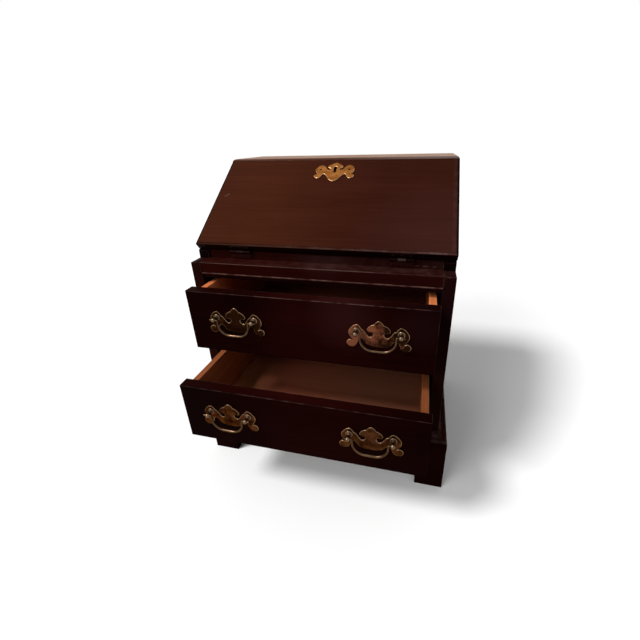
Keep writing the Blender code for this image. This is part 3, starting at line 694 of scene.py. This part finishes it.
easing = {
    "width": 0.0009,
    "narrow": {"lid": 0.0004, "hinge_brass": 0.0002},
    "wide": {"ledge_board": 0.0016},
    "segments": 3,
    "merge": 1e-5,  # the solids are loose triangles
    "flat": math.radians(0.5),
    "sharp": math.radians(40),
    "shortest": 0.006,  # a shorter edge is left as cut
    "covered": 0.0008,  # an edge this near a neighbour is left as cut
    "level": 0.10,  # wear on an upright edge
    "rise": 1.1,  # added as an edge looks up, until the wear is full
    "square": 0.985,  # a face this near square to an axis isn't moulded
    "alike": 0.9,  # a face this near a way looks that way
    "upright": 0.2,  # an arris that looks up less than this is upright
    "endward": 0.3,  # one that looks right more than this is at the end
}
mouldedWear = {  # at the left and the right; on the ledge's bead and the base's right end it also paints the highlight the moulding catches
    "ledge_board": (0.6, 0.7),
    "base_front": (-0.7, 1.0),
    "base_left": (0.25, 0.25),
    "base_right": (0.35, 0.35),
    "upper_drawer_front": (0.9, 0.9),
    "lower_drawer_front": (0.7, 0.7),
}
arrisWear = {  # at the left and the right; others 1
    "writing_board": (0.0, 0.0),
    "ledge_board": (2.6, 0.8),
    **{node: (0.06, 0.06) for node in boards["hinge_brass", ""]},
}
drawerEnds = {"upper_drawer_front": 0.45, "lower_drawer_front": 0.20}  # wear on the arris of the right end, which also paints its highlight
stile = {
    "ledge": 0.418,  # the height of the step in its front
    "step": (0.5, 0.5),  # wear of the arrises up to there
    "corner": 0.9,  # and of the upright ones above, which also paints the highlight along those arrises
    "head": 0.006,  # its slope is parted this far up from the hinge, so that its front end can lie in painted shade
    "rest": 0.45,  # from this height on the slope is in less painted shade
}
shades = {  # painted shade: how much darker than its finish a board is drawn, mostly where it sits in shadow; below 0 it is painted paler, as if lit
    "left_side_panel": 0.45,
    "right_side_panel": 0.45,
    "upper_rail": 0.45,
    "drawer_divider": 0.40,
    "base_front": 0.45,
    "lower_drawer_front": 0.30,
    "upper_drawer_side_right": -0.95,
    "lower_drawer_side_right": 0.42,
    "lower_drawer_side_left": 0.10,
}
slopeWay = (0, -0.60, 0.80)
# painted shade on the stiles: their fronts beside the lid and the front end of their slopes lie in shadow
stileTones = [
    ((0, -1, 0), stile["ledge"], 0.86, 0.0),
    ((0, 0, 1), 0.0, 0.40, 0.06),
    (slopeWay, stile["rest"], 0.45, 0.0),
    (slopeWay, 0.0, 0.90, 0.0),
]
# painted shade and light by face: a way that a face looks, the least height of its middle, and its shade and
# wear, or left and right pairs
# the lid's down-facing edge, the riser and the ledge's front are in painted shade; outer sides, the back and
# the drawers' insides are painted paler as if lit; the tops of the drawer fronts are painted paler at the
# left; the paler right of the riser and the ledge top is painted light drawn as wear
faceTones = {
    "lid_panel": [((0, -0.80, -0.60), 0.0, 0.80, 0.0)],
    "writing_board": [((0, -1, 0), 0.0, 0.38, (0.0, 0.09))],
    "ledge_board": [((0, 0, 1), 0.0, 0.20, (0.05, 0.16)), ((0, -1, 0), 0.0, 0.22, 0.0)],
    "left_side_panel": stileTones + [((-1, 0, 0), 0.0, -0.30, 0.0)],
    "right_side_panel": stileTones + [((1, 0, 0), 0.0, -0.50, 0.0)],
    "back_panel": [((0, 1, 0), 0.0, -0.90, 0.0)],
    "base_front": [((0, 0, 1), 0.05, 0.30, (-0.4, 0.5))],
    "upper_drawer_front": [((0, 0, 1), 0.0, (-0.8, 0.30), 0.0)],
    "lower_drawer_front": [((0, 0, 1), 0.0, (-0.9, 0.50), 0.0)],
    "upper_drawer_side_left": [((1, 0, 0), 0.0, -0.45, 0.0)],
    "upper_drawer_back": [((0, -1, 0), 0.0, -0.50, 0.0)],
    "upper_drawer_bottom": [((0, 0, 1), 0.0, -0.40, 0.0)],
    "lower_drawer_side_left": [((1, 0, 0), 0.0, -0.25, 0.0)],
}
lip = {
    "lowest": 0.0110,  # its faces lie between these, out from the lid's inner side
    "step": 0.0133,
    "topClear": 0.002,  # and this far below the top edge
    "flat": 0.995,  # how squarely the flat of its sides looks out
    "footFlat": 0.97,  # and that of the lower lip
    "footTurn": 0.02,  # which looks sideways less than this
    "face": (0.30, 0.10),  # painted shade and wear of the flat of its sides
    "edge": (0.85, 0.0),  # of their fall, which is painted in shadow
    "foot": ((0.45, 0.0), (0.0, 0.40)),  # painted shades and wears of the lower lip, from left to right: in shadow at the left, pale at the right
    "border": 0.2112,  # on the face, to the right of this
    "borderWear": 0.05,
}
knuckles = {
    "reach": 0.0033,  # from the hinge's axis
    "age": 0.3,  # tarnish of the hinges, and as far the other way on the flat of a case leaf
    # a painted glint on the middle knuckle of each hinge, stronger on the right
    "wear": {"lid_leaf_left": 0.03, "lid_leaf_right": 0.24},
}
stileCut = (onLid(0, stile["head"], 0).translation, onLid(0, 0, 0).col[1].xyz)
cuts = {  # flat faces are parted here, so that wear and painted shade can change there
    "lid_panel": (Vector((lip["border"], 0, 0)), Vector((1, 0, 0))),
    "left_side_panel": stileCut,
    "right_side_panel": stileCut,
}


# painted shade and light on the lid's lip
def paintLip(bm):
    wear = layerOf(bm, "wear")
    shade = layerOf(bm, "shade")
    toLid = onLid(0, 0, 0).inverted()
    highest = lidPlace["topEdge"] - lip["topClear"]
    for face in bm.faces:
        x, up, out = toLid @ face.calc_center_median()
        way = toLid.to_3x3() @ face.normal
        isLip = lip["lowest"] < out < lip["step"] and up < highest
        isFoot = isLip and abs(way.x) < lip["footTurn"]
        for loop in face.loops:
            if isFoot and way.z > lip["footFlat"]:
                loop[shade] = acrossTone(lip["foot"][0], loop.vert.co.x)
                loop[wear] = acrossTone(lip["foot"][1], loop.vert.co.x)
            elif isLip:
                loop[shade], loop[wear] = lip["face"] if way.z > lip["flat"] else lip["edge"]
            elif out > lip["step"] and x > lip["border"]:
                loop[wear] = lip["borderWear"]


def isKnuckle(face):
    spot = face.calc_center_median() - Vector(joints["lid_hinge"]["pos_m"])
    return math.hypot(spot.y, spot.z) < knuckles["reach"]


# the painted glint of a knuckle, carried as wear
def knuckleGlint(node, face):
    return 0.0, knuckles["wear"].get(node, 0.0) if isKnuckle(face) else 0.0


def knuckleAge(node, face):
    isFlat = node.startswith("hinge_leaf") and not isKnuckle(face)
    return -knuckles["age"] if isFlat else knuckles["age"]


def faceTone(node, face):
    if slotOf[node] == "antique_brass":
        return knuckleGlint(node, face)
    for way, height, shade, wear in faceTones.get(node, []):
        if face.normal.dot(Vector(way)) > easing["alike"] and face.calc_center_median().z > height:
            return shade, wear
    return shades.get(node, 0.0), 0.0


def treeOf(node):
    bm = bmeshFrom(cadNodes[node].data)
    found = BVHTree.FromBMesh(bm)
    bm.free()
    return found


solidTrees = {node: treeOf(node) for node in cadNodes}


def isCovered(node, spot):
    for other, solidTree in solidTrees.items():
        if other != node and solidTree.find_nearest(spot, easing["covered"])[0] is not None:
            return True
    return False


def easedEdges(bm, node):
    chosen = []
    for edge in bm.edges:
        if not edge.is_manifold or not edge.is_convex or edge.calc_length() < easing["shortest"]:
            continue
        if edge.calc_face_angle() < easing["sharp"]:
            continue
        middle = (edge.verts[0].co + edge.verts[1].co) / 2
        if not isCovered(node, middle):
            chosen.append(edge)
    return chosen


def wearOf(face, amounts):
    up = max(face.normal.z, 0.0)
    share = min(easing["level"] + easing["rise"] * up, 1.0)
    return tuple(amount * share for amount in amounts)


def faceWear(node, face):
    if node in mouldedWear and max(map(abs, face.normal)) < easing["square"]:
        return wearOf(face, mouldedWear[node])
    return faceTone(node, face)[1]


def arrisTone(node, face):
    if node.endswith("side_panel"):
        if face.calc_center_median().z <= stile["ledge"]:
            return wearOf(face, stile["step"])
        return stile["corner"] if abs(face.normal.z) < easing["upright"] else 0.0
    if node in drawerEnds and face.normal.x > easing["endward"]:
        return drawerEnds[node]
    return wearOf(face, arrisWear.get(node, (1.0, 1.0)))


def easedBoard(node, kind, along):
    bm = bmeshFrom(cadNodes[node].data)
    mergeDoubles(bm, easing["merge"])
    bmesh.ops.dissolve_limit(bm, angle_limit=easing["flat"], verts=bm.verts, edges=bm.edges)
    if node in cuts:
        cutAt(bm, *cuts[node])
    paint(bm, "wear", lambda face: faceWear(node, face))
    paint(bm, "shade", lambda face: faceTone(node, face)[0])
    if node == "lid_panel":
        paintLip(bm)
    if kind == "hinge_brass":
        paint(bm, "age", lambda face: knuckleAge(node, face))
    made = bmesh.ops.bevel(
        bm,
        geom=easedEdges(bm, node),
        offset=easing["wide"].get(node) or easing["narrow"].get(kind, easing["width"]),
        offset_type="OFFSET",
        affect="EDGES",
        segments=easing["segments"],
        profile=0.5,
        material=-1,
        clamp_overlap=True,
    )
    paint(bm, "wear", lambda face: arrisTone(node, face), made["faces"])
    body = cadNodes[node]["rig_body"]
    piece = placePiece(node + "_eased", meshFrom(bm, node), kind, body, [node], along)
    weighNormals(piece)


def addBoards():
    for (kind, along), names in boards.items():
        for node in names:
            easedBoard(node, kind, along)
    print("boards:", sum(len(names) for names in boards.values()))


# flat brass plates: outlines in millimetres down the right side, with the cusps marked
plateEdge = {
    "unit": 0.001,
    "ease": 0.00045,
    "steps": 10,
    "easeSteps": 2,
    "flat": 0.95,  # a face this near the plate's own way is flat
    "rim": 0.0008,  # rubbed bright inside the edge
    "rimWear": (0.95, 0.30),  # at the edge and at its inner side
}


def rubRim(bm):
    flat = plateEdge["flat"]
    front = [face for face in bm.faces if face.normal.z > flat]
    edge = {vert for vert in bm.verts if any(face.normal.z < flat for face in vert.link_faces)}
    made = bmesh.ops.inset_region(
        bm, faces=front, thickness=plateEdge["rim"], use_boundary=True, use_even_offset=False
    )
    wear = layerOf(bm, "wear")
    outer, inner = plateEdge["rimWear"]
    for face in made["faces"]:
        for loop in face.loops:
            loop[wear] = outer if loop.vert in edge else inner


def plateMesh(name, outline, holes, thickness):
    unit = plateEdge["unit"]
    curve = bpy.data.curves.new(name, "CURVE")
    curve.dimensions = "2D"
    curve.fill_mode = "BOTH"
    curve.resolution_u = plateEdge["steps"]
    curve.bevel_depth = plateEdge["ease"]
    curve.bevel_resolution = plateEdge["easeSteps"]
    curve.offset = -plateEdge["ease"]
    curve.extrude = thickness / 2 - plateEdge["ease"]
    line = curve.splines.new("BEZIER")
    line.use_cyclic_u = True
    points = outline + [(-x, y, *cusp) for x, y, *cusp in reversed(outline) if x > 0]
    line.bezier_points.add(len(points) - 1)
    for point, (x, y, *cusp) in zip(line.bezier_points, points):
        point.co = (x * unit, y * unit, 0)
        point.handle_left_type = "VECTOR" if cusp else "AUTO"
        point.handle_right_type = point.handle_left_type
    for hole in holes:
        ring = curve.splines.new("POLY")
        ring.use_cyclic_u = True
        ring.points.add(len(hole) - 1)
        for point, (x, y) in zip(ring.points, hole):
            point.co = (x, y, 0, 1)
    bm = bmeshFromCurve(curve)
    paint(bm, "wear", lambda face: 0.0 if abs(face.normal.z) > plateEdge["flat"] else 1.0)
    rubRim(bm)
    return meshFrom(bm, name)


def drawn(points, foot=0.0):
    return [(x + foot, y, *cusp) for x, y, *cusp in points]


def arcPoints(centre, radius, start, end, steps):
    turns = [math.radians(start + (end - start) * step / steps) for step in range(steps + 1)]
    return [(centre[0] + radius * math.cos(turn), centre[1] + radius * math.sin(turn)) for turn in turns]


def ringOf(centre, radius, steps):
    return arcPoints(centre, radius, 0, 360, steps)[:-1]


def spunMesh(name, profile, wear, steps=32):
    bm = bmesh.new()
    line = [bm.verts.new((radius, 0, height)) for radius, height in profile]
    edges = [bm.edges.new(pair) for pair in zip(line, line[1:])]
    bmesh.ops.spin(
        bm, geom=line + edges, axis=(0, 0, 1), cent=(0, 0, 0), angle=2 * math.pi, steps=steps, use_merge=True
    )
    mergeDoubles(bm)
    paint(bm, "wear", lambda face: wear(face.calc_center_median()))
    return meshFrom(bm, name)


upright = Matrix.Rotation(math.radians(90), 4, "X")


def uprightAt(x, y, z):
    return Matrix.Translation((x, y, z)) @ upright


pull = {
    "postSpread": 0.066,
    "postPivot": 0.010,
    "plateThickness": 0.0018,
    "shankHole": 0.0023,
    "holeSteps": 24,
    "crown": [
        (0, 18.8), (4.4, 16.4), (7.4, 12.4, "cusp"), (11.6, 10.8), (15.8, 7.0),
        (17.6, 3.0), (14.4, -0.6), (10.6, -0.6), (8.4, -2.4), (9.6, -6.4),
        (13.0, -8.2),
    ],
    "lobe": [
        (-16.2, -5.6), (-12.8, -0.6), (-10.6, 2.4, "cusp"), (-7.6, 4.0), (-5.2, 7.6),
        (-1.4, 11.0, "cusp"), (3.8, 9.2), (8.6, 4.6), (11.8, -1.4), (11.2, -7.6),
        (8.4, -12.4), (5.8, -16.6, "cusp"), (10.2, -15.4), (15.0, -20.2),
        (13.4, -25.8), (7.8, -28.2), (1.4, -25.8), (-1.8, -20.0),
        (-4.0, -14.4), (-7.4, -12.4), (-10.6, -15.4),
    ],
    "belly": [(16.8, -21.6), (9.0, -24.4), (0, -25.0)],
    "ballRadius": 0.0040,
    "ballSteps": 12,
    "ballWear": 0.34,
    "neckRadius": 0.0027,
    "collar": [  # out from the neck, and height
        (0.0, 0.0042), (0.0004, 0.0036), (0.0008, 0.0033), (0.0004, 0.0030),
    ],
    "cove": {"inset": 0.0008, "level": 0.0030, "radius": 0.0018, "from": 190, "to": 262, "steps": 5},
    "flangeRadius": 0.0056,
    "rim": [(0.0003, 0.0010), (0.0, 0.0006), (0.0, 0.0)],  # in from the flange's edge, and height
    "rimWidth": 0.0007,
    "rimWear": 0.50,
    "shankRadius": 0.0020,
    "shankLength": 0.0272,
    "eyeRadius": 0.0016,
    "eyeSides": 24,
    "bailDrop": 0.0258,
    "bailRadii": (0.0013, 0.0017, 0.0022),  # of its ends, its legs and the middle of its grip
    "bailTip": (0.7, 0.0004),  # how thin an end gets, and over what length
    "bailEndReach": 0.0028,
    "bailBend": 0.0022,
    "bailCorner": 0.0190,
    "bailSteps": (8, 14, 4),  # round a bend, round a corner and along half the grip
    "bailResolution": 6,
    "bailClear": 0.0005,
    "bailWear": 0.14,  # on the grip, less up the legs
    "plateReach": 0.048,
    "plates": {  # how far each has darkened at its left and right, which also paints a reflection fading across it, and how coppery it is
        "upper_drawer_left": (0.20, 0.26, 0.0),
        "upper_drawer_right": (-0.26, 0.30, 0.9),
        "lower_drawer_left": (0.02, -0.02, 0.3),
        "lower_drawer_right": (-0.04, 0.0, 0.1),
    },
}


def postWear(spot):
    if spot.z > pull["postPivot"] - pull["ballRadius"]:
        return pull["ballWear"]
    isRim = spot.z > 0 and spot.xy.length > pull["flangeRadius"] - pull["rimWidth"]
    return pull["rimWear"] if isRim else 0.0


def postProfile():
    pivot = pull["postPivot"]
    ball = pull["ballRadius"]
    neck = pull["neckRadius"]
    flange = pull["flangeRadius"]
    shank = pull["shankRadius"]
    cove = pull["cove"]
    low = -math.degrees(math.acos(neck / ball))
    hollow = (flange - cove["inset"], cove["level"])
    profile = [(0.0, pivot + ball)] + arcPoints((0, pivot), ball, 90, low, pull["ballSteps"])[1:]
    profile += [(neck + out, height) for out, height in pull["collar"]]
    profile += arcPoints(hollow, cove["radius"], cove["from"], cove["to"], cove["steps"])
    profile += [(flange - inset, height) for inset, height in pull["rim"]]
    return profile + [(shank, 0.0), (shank, -pull["shankLength"]), (0.0, -pull["shankLength"])]


def drillMesh():
    radius = pull["eyeRadius"]
    length = 4 * pull["ballRadius"]  # well out on both sides
    bm = bmesh.new()
    bmesh.ops.create_cone(
        bm, cap_ends=True, segments=pull["eyeSides"], radius1=radius, radius2=radius, depth=length
    )
    bmesh.ops.rotate(bm, verts=bm.verts, cent=(0, 0, 0), matrix=Matrix.Rotation(math.radians(90), 3, "Y"))
    bmesh.ops.translate(bm, verts=bm.verts, vec=(0, 0, pull["postPivot"]))
    return meshFrom(bm, "drill")


def postMesh():
    post = addObject("post", spunMesh("post", postProfile(), postWear))
    drill = addObject("drill", drillMesh())
    eye = post.modifiers.new("eye", "BOOLEAN")
    eye.object = drill
    eye.operation = "DIFFERENCE"
    pierced = evaluatedMesh(post)
    bpy.data.objects.remove(drill)
    return pierced


def bailPath():
    post = pull["postSpread"] / 2
    drop = pull["bailDrop"]
    bend = pull["bailBend"]
    corner = pull["bailCorner"]
    end = post + pull["ballRadius"] + pull["bailEndReach"]
    leg = post - pull["ballRadius"] - bend - pull["bailClear"]
    thin, lean, full = pull["bailRadii"]
    taper, tip = pull["bailTip"]
    bendSteps, cornerSteps, gripSteps = pull["bailSteps"]
    path = [(-end, 0, thin * taper), (-end + tip, 0, thin), (-post, 0, thin)]
    shoulder = arcPoints((-leg - bend, -bend), bend, 90, 0, bendSteps)
    path += [(x, z, thin + (lean - thin) * step / bendSteps) for step, (x, z) in enumerate(shoulder)]
    grip = arcPoints((-leg + corner, corner - drop), corner, 180, 270, cornerSteps)
    grip += [((corner - leg) * (1 - step / gripSteps), -drop) for step in range(1, gripSteps + 1)]
    steps = cornerSteps + gripSteps
    path += [(x, z, lean + (full - lean) * step / steps) for step, (x, z) in enumerate(grip)]
    return path + [(-x, z, radius) for x, z, radius in reversed(path[:-1])]


def gripWear(face):
    share = -face.calc_center_median().z / pull["bailDrop"]
    return pull["bailWear"] * min(max(share, 0.0), 1.0) ** 2


def bailMesh():
    path = bailPath()
    curve = bpy.data.curves.new("bail", "CURVE")
    curve.dimensions = "3D"
    curve.bevel_depth = 1.0  # times the radius at each point
    curve.bevel_resolution = pull["bailResolution"]
    curve.use_fill_caps = True
    line = curve.splines.new("POLY")
    line.points.add(len(path) - 1)
    for point, (x, z, radius) in zip(line.points, path):
        point.co = (x, 0, z, 1)
        point.radius = radius
    bm = bmeshFromCurve(curve)
    paint(bm, "wear", gripWear)
    return meshFrom(bm, "bail")


# tarnish that runs across a plate from left to right, which also paints a reflection
def tarnishAndReflection(mesh, x, ages):
    left, right, blush = ages
    spots = [mesh.vertices[loop.vertex_index].co.x for loop in mesh.loops]
    shares = [(spot - x) / pull["plateReach"] / 2 + 0.5 for spot in spots]
    layers = {"age": [left + (right - left) * share for share in shares], "blush": [blush] * len(shares)}
    for name, values in layers.items():
        mesh.attributes.new(name, "FLOAT", "CORNER").data.foreach_set("value", values)
    return mesh


def addPulls():
    half = pull["postSpread"] / 2
    outline = drawn(pull["crown"]) + drawn(pull["lobe"], half / plateEdge["unit"]) + drawn(pull["belly"])
    holes = [ringOf((side * half, 0), pull["shankHole"], pull["holeSteps"]) for side in (-1, 1)]
    plate = plateMesh("plate", outline, holes, pull["plateThickness"])
    post = postMesh()
    bail = bailMesh()
    for name, ages in pull["plates"].items():
        drawer = name.rsplit("_", 1)[0]
        x, y, z = joints[name + "_bail_swing"]["pos_m"]
        low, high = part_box(name + "_plate")
        flat = tarnishAndReflection(placed(plate, uprightAt(x, (low.y + high.y) / 2, z)), x, ages)
        made = [placePiece(name + "_plate_fine", flat, "plate_brass", drawer, [name + "_plate"])]
        for label, postX in (("left", x - half), ("right", x + half)):
            node = name + "_post_" + label
            turned = placed(post, uprightAt(postX, y + pull["postPivot"], z))
            made.append(placePiece(node + "_fine", turned, "bail_brass", drawer, [node]))
        swing = placed(bail, Matrix.Translation((x, y, z)))
        made.append(placePiece(name + "_bail_fine", swing, "bail_brass", name + "_bail", [name + "_bail"]))
        for piece in made:
            smoothPiece(piece)
    print("pulls:", len(pull["plates"]))


escutcheon = {
    "nail": 27.1,  # from the middle, in millimetres too
    "crown": [
        (0, 15.0, "cusp"), (7.2, 10.4), (13.8, 4.8), (14.2, 1.6), (11.2, -0.6),
        (8.4, -2.4), (10.6, -4.6),
    ],
    "lobe": [
        (-11.6, -2.2), (-8.2, 2.6), (-2.6, 7.2), (2.4, 6.6), (7.4, 1.8),
        (9.7, -3.8), (9.0, -9.6), (6.0, -14.0), (4.2, -15.6, "cusp"), (8.8, -17.2),
        (10.8, -21.2), (7.6, -25.2), (2.6, -26.8), (-1.9, -23.4),
        (-4.9, -18.0), (-7.2, -16.2), (-11.4, -19.2),
    ],
    "belly": [(11.8, -24.6), (8.4, -29.8), (4.4, -33.2), (0, -34.4)],
    "keyDrop": 0.0225,
    "keyRadius": 0.0034,
    "keySteps": 20,
    "slotWidth": 0.0048,
    "slotLength": 0.0114,
    "thickness": 0.0014,
}


def addEscutcheon():
    nail = escutcheon["nail"]
    outline = drawn(escutcheon["crown"]) + drawn(escutcheon["lobe"], nail) + drawn(escutcheon["belly"])
    half = escutcheon["slotWidth"] / 2
    start = math.degrees(math.acos(half / escutcheon["keyRadius"]))
    key = arcPoints((0, 0), escutcheon["keyRadius"], -start, 180 + start, escutcheon["keySteps"])
    key += [(-half, -escutcheon["slotLength"]), (half, -escutcheon["slotLength"])]
    mesh = plateMesh("escutcheon_fine", outline, [key], escutcheon["thickness"])
    keyUp = lidPlace["topEdge"] - escutcheon["keyDrop"]
    face = lidPlace["thickness"] + lidPlace["gap"]
    mesh.transform(onLid(0, keyUp, face + escutcheon["thickness"] / 2))
    smoothPiece(placePiece("escutcheon_fine", mesh, "bright_brass", "lid", ["escutcheon"]))
    print("escutcheon: 1")


# metal pieces that keep their solids take a worked finish
plainMetals = {
    "bright_brass": ["strike_plate", "lock_bolt"],
    "lock_steel": ["lock_case"],
}


def finishMetals():
    for kind, names in plainMetals.items():
        for node in names:
            setFinish(cadNodes[node].data, kind)
    print("plain metals:", sum(len(names) for names in plainMetals.values()))


# screws, nails and nuts: each group is one piece on the body that it holds to
fasteners = {
    "screwRadius": 0.0017,
    "screwTaper": 0.8,
    "screwHeight": 0.0005,
    "screwSides": 28,
    "screwWear": (0.08, 0.02),  # on its flank and its top
    "upward": 0.9,  # a face that looks up more than this is the top
    "slotWidth": 0.0005,
    "slotDepth": 0.0003,
    "leafPlaces": (-0.0135, 0.0, 0.0135),  # along a hinge leaf
    "leafLevel": 0.0078,  # from the hinge axis
    "leafFace": 0.0022,
    "lockInset": 0.0035,
    "nailRadius": 0.0019,
    "nailHeight": 0.0006,
    "nailSides": 20,
    "nailDome": (70, 6),  # degrees up from its rim, and steps
    "escutcheonDrop": 0.0047,  # below the keyhole's middle
    "backNailRadius": 0.0016,
    "backNailInset": 0.010,
    "backNailPitch": 0.072,
    "nutAcross": 0.0070,  # its flats
    "nutHeight": 0.0028,
    "nutGap": 0.0001,
    "nutWear": 0.2,
    "washerRadius": 0.0048,
    "washerHeight": 0.0008,
    "washerSides": 32,
    "boreRadius": 0.0021,
}


def screwMesh():
    radius = fasteners["screwRadius"]
    height = fasteners["screwHeight"]
    half = fasteners["slotWidth"] / 2
    upward = fasteners["upward"]
    narrow = radius * fasteners["screwTaper"]
    bm = bmesh.new()
    bmesh.ops.create_cone(
        bm, cap_ends=True, segments=fasteners["screwSides"], radius1=radius, radius2=narrow, depth=height
    )
    bmesh.ops.translate(bm, verts=bm.verts, vec=(0, 0, height / 2))
    for side in (-1, 1):
        cutAt(bm, (side * half, 0, 0), (1, 0, 0))
    slot = [face for face in bm.faces if face.normal.z > upward and abs(face.calc_center_median().x) < half]
    raiseFaces(bm, slot, -fasteners["slotDepth"])
    flank, top = fasteners["screwWear"]
    paint(bm, "wear", lambda face: flank if face.normal.z < upward else top)
    return meshFrom(bm, "screw")


def nailMesh(radius):
    height = fasteners["nailHeight"]
    angle, steps = fasteners["nailDome"]
    dome = arcPoints((0, 0), 1.0, angle, 0, steps)
    profile = [(0.0, height)] + [(radius * across, height * up) for across, up in dome] + [(0.0, 0.0)]
    return spunMesh("nail", profile, lambda spot: 0.0, fasteners["nailSides"])


def nutMesh():
    washer = fasteners["washerHeight"]
    seat = washer + fasteners["nutGap"]
    bm = bmesh.new()
    for sides, radius, low, high in (
        (fasteners["washerSides"], fasteners["washerRadius"], 0.0, washer),
        (6, fasteners["nutAcross"] / math.sqrt(3), seat, washer + fasteners["nutHeight"]),
    ):
        rim = bmesh.ops.create_circle(bm, segments=sides, radius=radius)["verts"]
        bore = bmesh.ops.create_circle(bm, segments=sides, radius=fasteners["boreRadius"])["verts"]
        rings = [edge for edge in bm.edges if edge.verts[0] in rim + bore]
        bmesh.ops.translate(bm, verts=rim + bore, vec=(0, 0, low))
        flat = bmesh.ops.bridge_loops(bm, edges=rings)["faces"]
        raiseFaces(bm, flat, high - low, keepFaces=True)
    paint(bm, "wear", lambda face: fasteners["nutWear"])
    return meshFrom(bm, "nut")


def addGroup(name, mesh, places, kind, body):
    bm = bmesh.new()
    for place in places:
        bm.from_mesh(placed(mesh, place))
    smoothPiece(placePiece(name, meshFrom(bm, name), kind, body))


def facing(spot, way):
    return Matrix.Translation(spot) @ Vector(way).to_track_quat("Z", "Y").to_matrix().to_4x4()


def addHingeScrews(screw):
    hinge = Vector(joints["lid_hinge"]["pos_m"])
    level = fasteners["leafLevel"]
    face = fasteners["leafFace"]
    onCase = []
    onLeaf = []
    for label in ("left", "right"):
        low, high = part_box("hinge_leaf_" + label)
        for along in fasteners["leafPlaces"]:
            x = (low.x + high.x) / 2 + along
            onCase.append(facing((x, hinge.y + face, hinge.z - level), (0, -1, 0)))
            onLeaf.append(onLid(x, face, level) @ upright)
    addGroup("case_leaf_screws", screw, onCase, "hinge_brass", "case")
    addGroup("lid_leaf_screws", screw, onLeaf, "hinge_brass", "lid")


def addEscutcheonNails():
    reach = escutcheon["nail"] * plateEdge["unit"]
    up = lidPlace["topEdge"] - escutcheon["keyDrop"] - fasteners["escutcheonDrop"]
    face = lidPlace["thickness"] + lidPlace["gap"] + escutcheon["thickness"]
    nails = [onLid(side * reach, up, face) for side in (-1, 1)]
    addGroup("escutcheon_nails", nailMesh(fasteners["nailRadius"]), nails, "hinge_brass", "lid")


def addLockScrews(screw):
    toLid = onLid(0, 0, 0).inverted()
    corners = [toLid @ vert.co for vert in cadNodes["lock_case"].data.vertices]
    across, heights, depths = zip(*corners)
    inset = fasteners["lockInset"]
    columns = (min(across) + inset, max(across) - inset)
    rows = (min(heights) + inset, max(heights) - inset)
    turn = Matrix.Rotation(math.radians(180), 4, "X")
    places = [onLid(x, up, min(depths)) @ turn for x in columns for up in rows]
    addGroup("lock_screws", screw, places, "lock_steel", "lid")


def addBackNails():
    low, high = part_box("back_panel")
    inset = fasteners["backNailInset"]
    width = high.x - low.x - 2 * inset
    count = int(width / fasteners["backNailPitch"]) + 1
    across = [low.x + inset + width * step / (count - 1) for step in range(count)]
    ends = (across[0], across[-1])
    middle = (low.z + high.z) / 2
    heights = (low.z + inset, middle, high.z - inset)
    spots = [(x, high.y, z) for x in across for z in heights if z != middle or x in ends]
    nails = [facing(spot, (0, 1, 0)) for spot in spots]
    addGroup("back_nails", nailMesh(fasteners["backNailRadius"]), nails, "lock_steel", "case")


def addNuts():
    nut = nutMesh()
    half = pull["postSpread"] / 2
    for drawer in ("upper_drawer", "lower_drawer"):
        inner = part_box(drawer + "_front")[1].y
        places = []
        for label in ("left", "right"):
            x, y, z = joints[drawer + "_" + label + "_bail_swing"]["pos_m"]
            places += [facing((x + side * half, inner, z), (0, 1, 0)) for side in (-1, 1)]
        addGroup(drawer + "_nuts", nut, places, "bright_brass", drawer)


def addFasteners():
    screw = screwMesh()
    addHingeScrews(screw)
    addEscutcheonNails()
    addLockScrews(screw)
    addBackNails()
    addNuts()
    print("fasteners: screws, nails and nuts")


studio = {
    "floorSize": 30.0,
    "floorTone": 0.97,
    "floorRoughness": 0.9,
    "bounceTone": 0.12,  # what the floor gives back to the object
    "worldFill": 0.38,
    "suns": [  # where each comes from, its strength and its width in degrees
        ((-0.50, -0.36, 0.79), 2.30, 14.0),
        ((-0.50, -0.70, 0.51), 1.20, 30.0),
    ],
}


def cameraSees(tree):
    ways = shaderNode(tree, "ShaderNodeLightPath").outputs
    seen = maths(tree, "MAXIMUM", ways["Is Camera Ray"], ways["Is Glossy Ray"])
    return maths(tree, "MAXIMUM", seen, ways["Is Transmission Ray"])


def addFloor():
    bm = bmesh.new()
    bmesh.ops.create_grid(bm, x_segments=1, y_segments=1, size=studio["floorSize"] / 2)
    mesh = meshFrom(bm, "floor")
    finish, tree, shader = newFinish("floor")
    bounce = rgba([studio["bounceTone"]] * 3)
    white = rgba([studio["floorTone"]] * 3)
    setInputs(tree, shader, {
        "Base Color": mixTone(tree, cameraSees(tree), bounce, white),
        "Roughness": studio["floorRoughness"],
        "Specular IOR Level": 0.0,
    })
    mesh.materials.append(finish)
    addObject("floor", mesh)


def addWorld():
    world = bpy.data.worlds.new("studio")
    world.use_nodes = True
    bpy.context.scene.world = world
    tree = world.node_tree
    strength = remap(tree, cameraSees(tree), 0.0, 1.0, studio["worldFill"], 1.0)
    setInputs(tree, tree.nodes["Background"], {"Color": (1, 1, 1, 1), "Strength": strength})


def addSuns():
    for way, strength, width in studio["suns"]:
        lamp = bpy.data.lights.new("softbox", "SUN")
        lamp.energy = strength
        lamp.angle = math.radians(width)
        softbox = addObject("softbox", lamp)
        softbox.rotation_mode = "QUATERNION"
        softbox.rotation_quaternion = Vector(way).to_track_quat("Z", "Y")


def addStudio():
    addFloor()
    addWorld()
    addSuns()
    bpy.context.scene.view_settings.view_transform = "Standard"
    print("studio: floor, world and lights")


addCamera()
addBoards()
addPulls()
addEscutcheon()
finishMetals()
addFasteners()
addStudio()
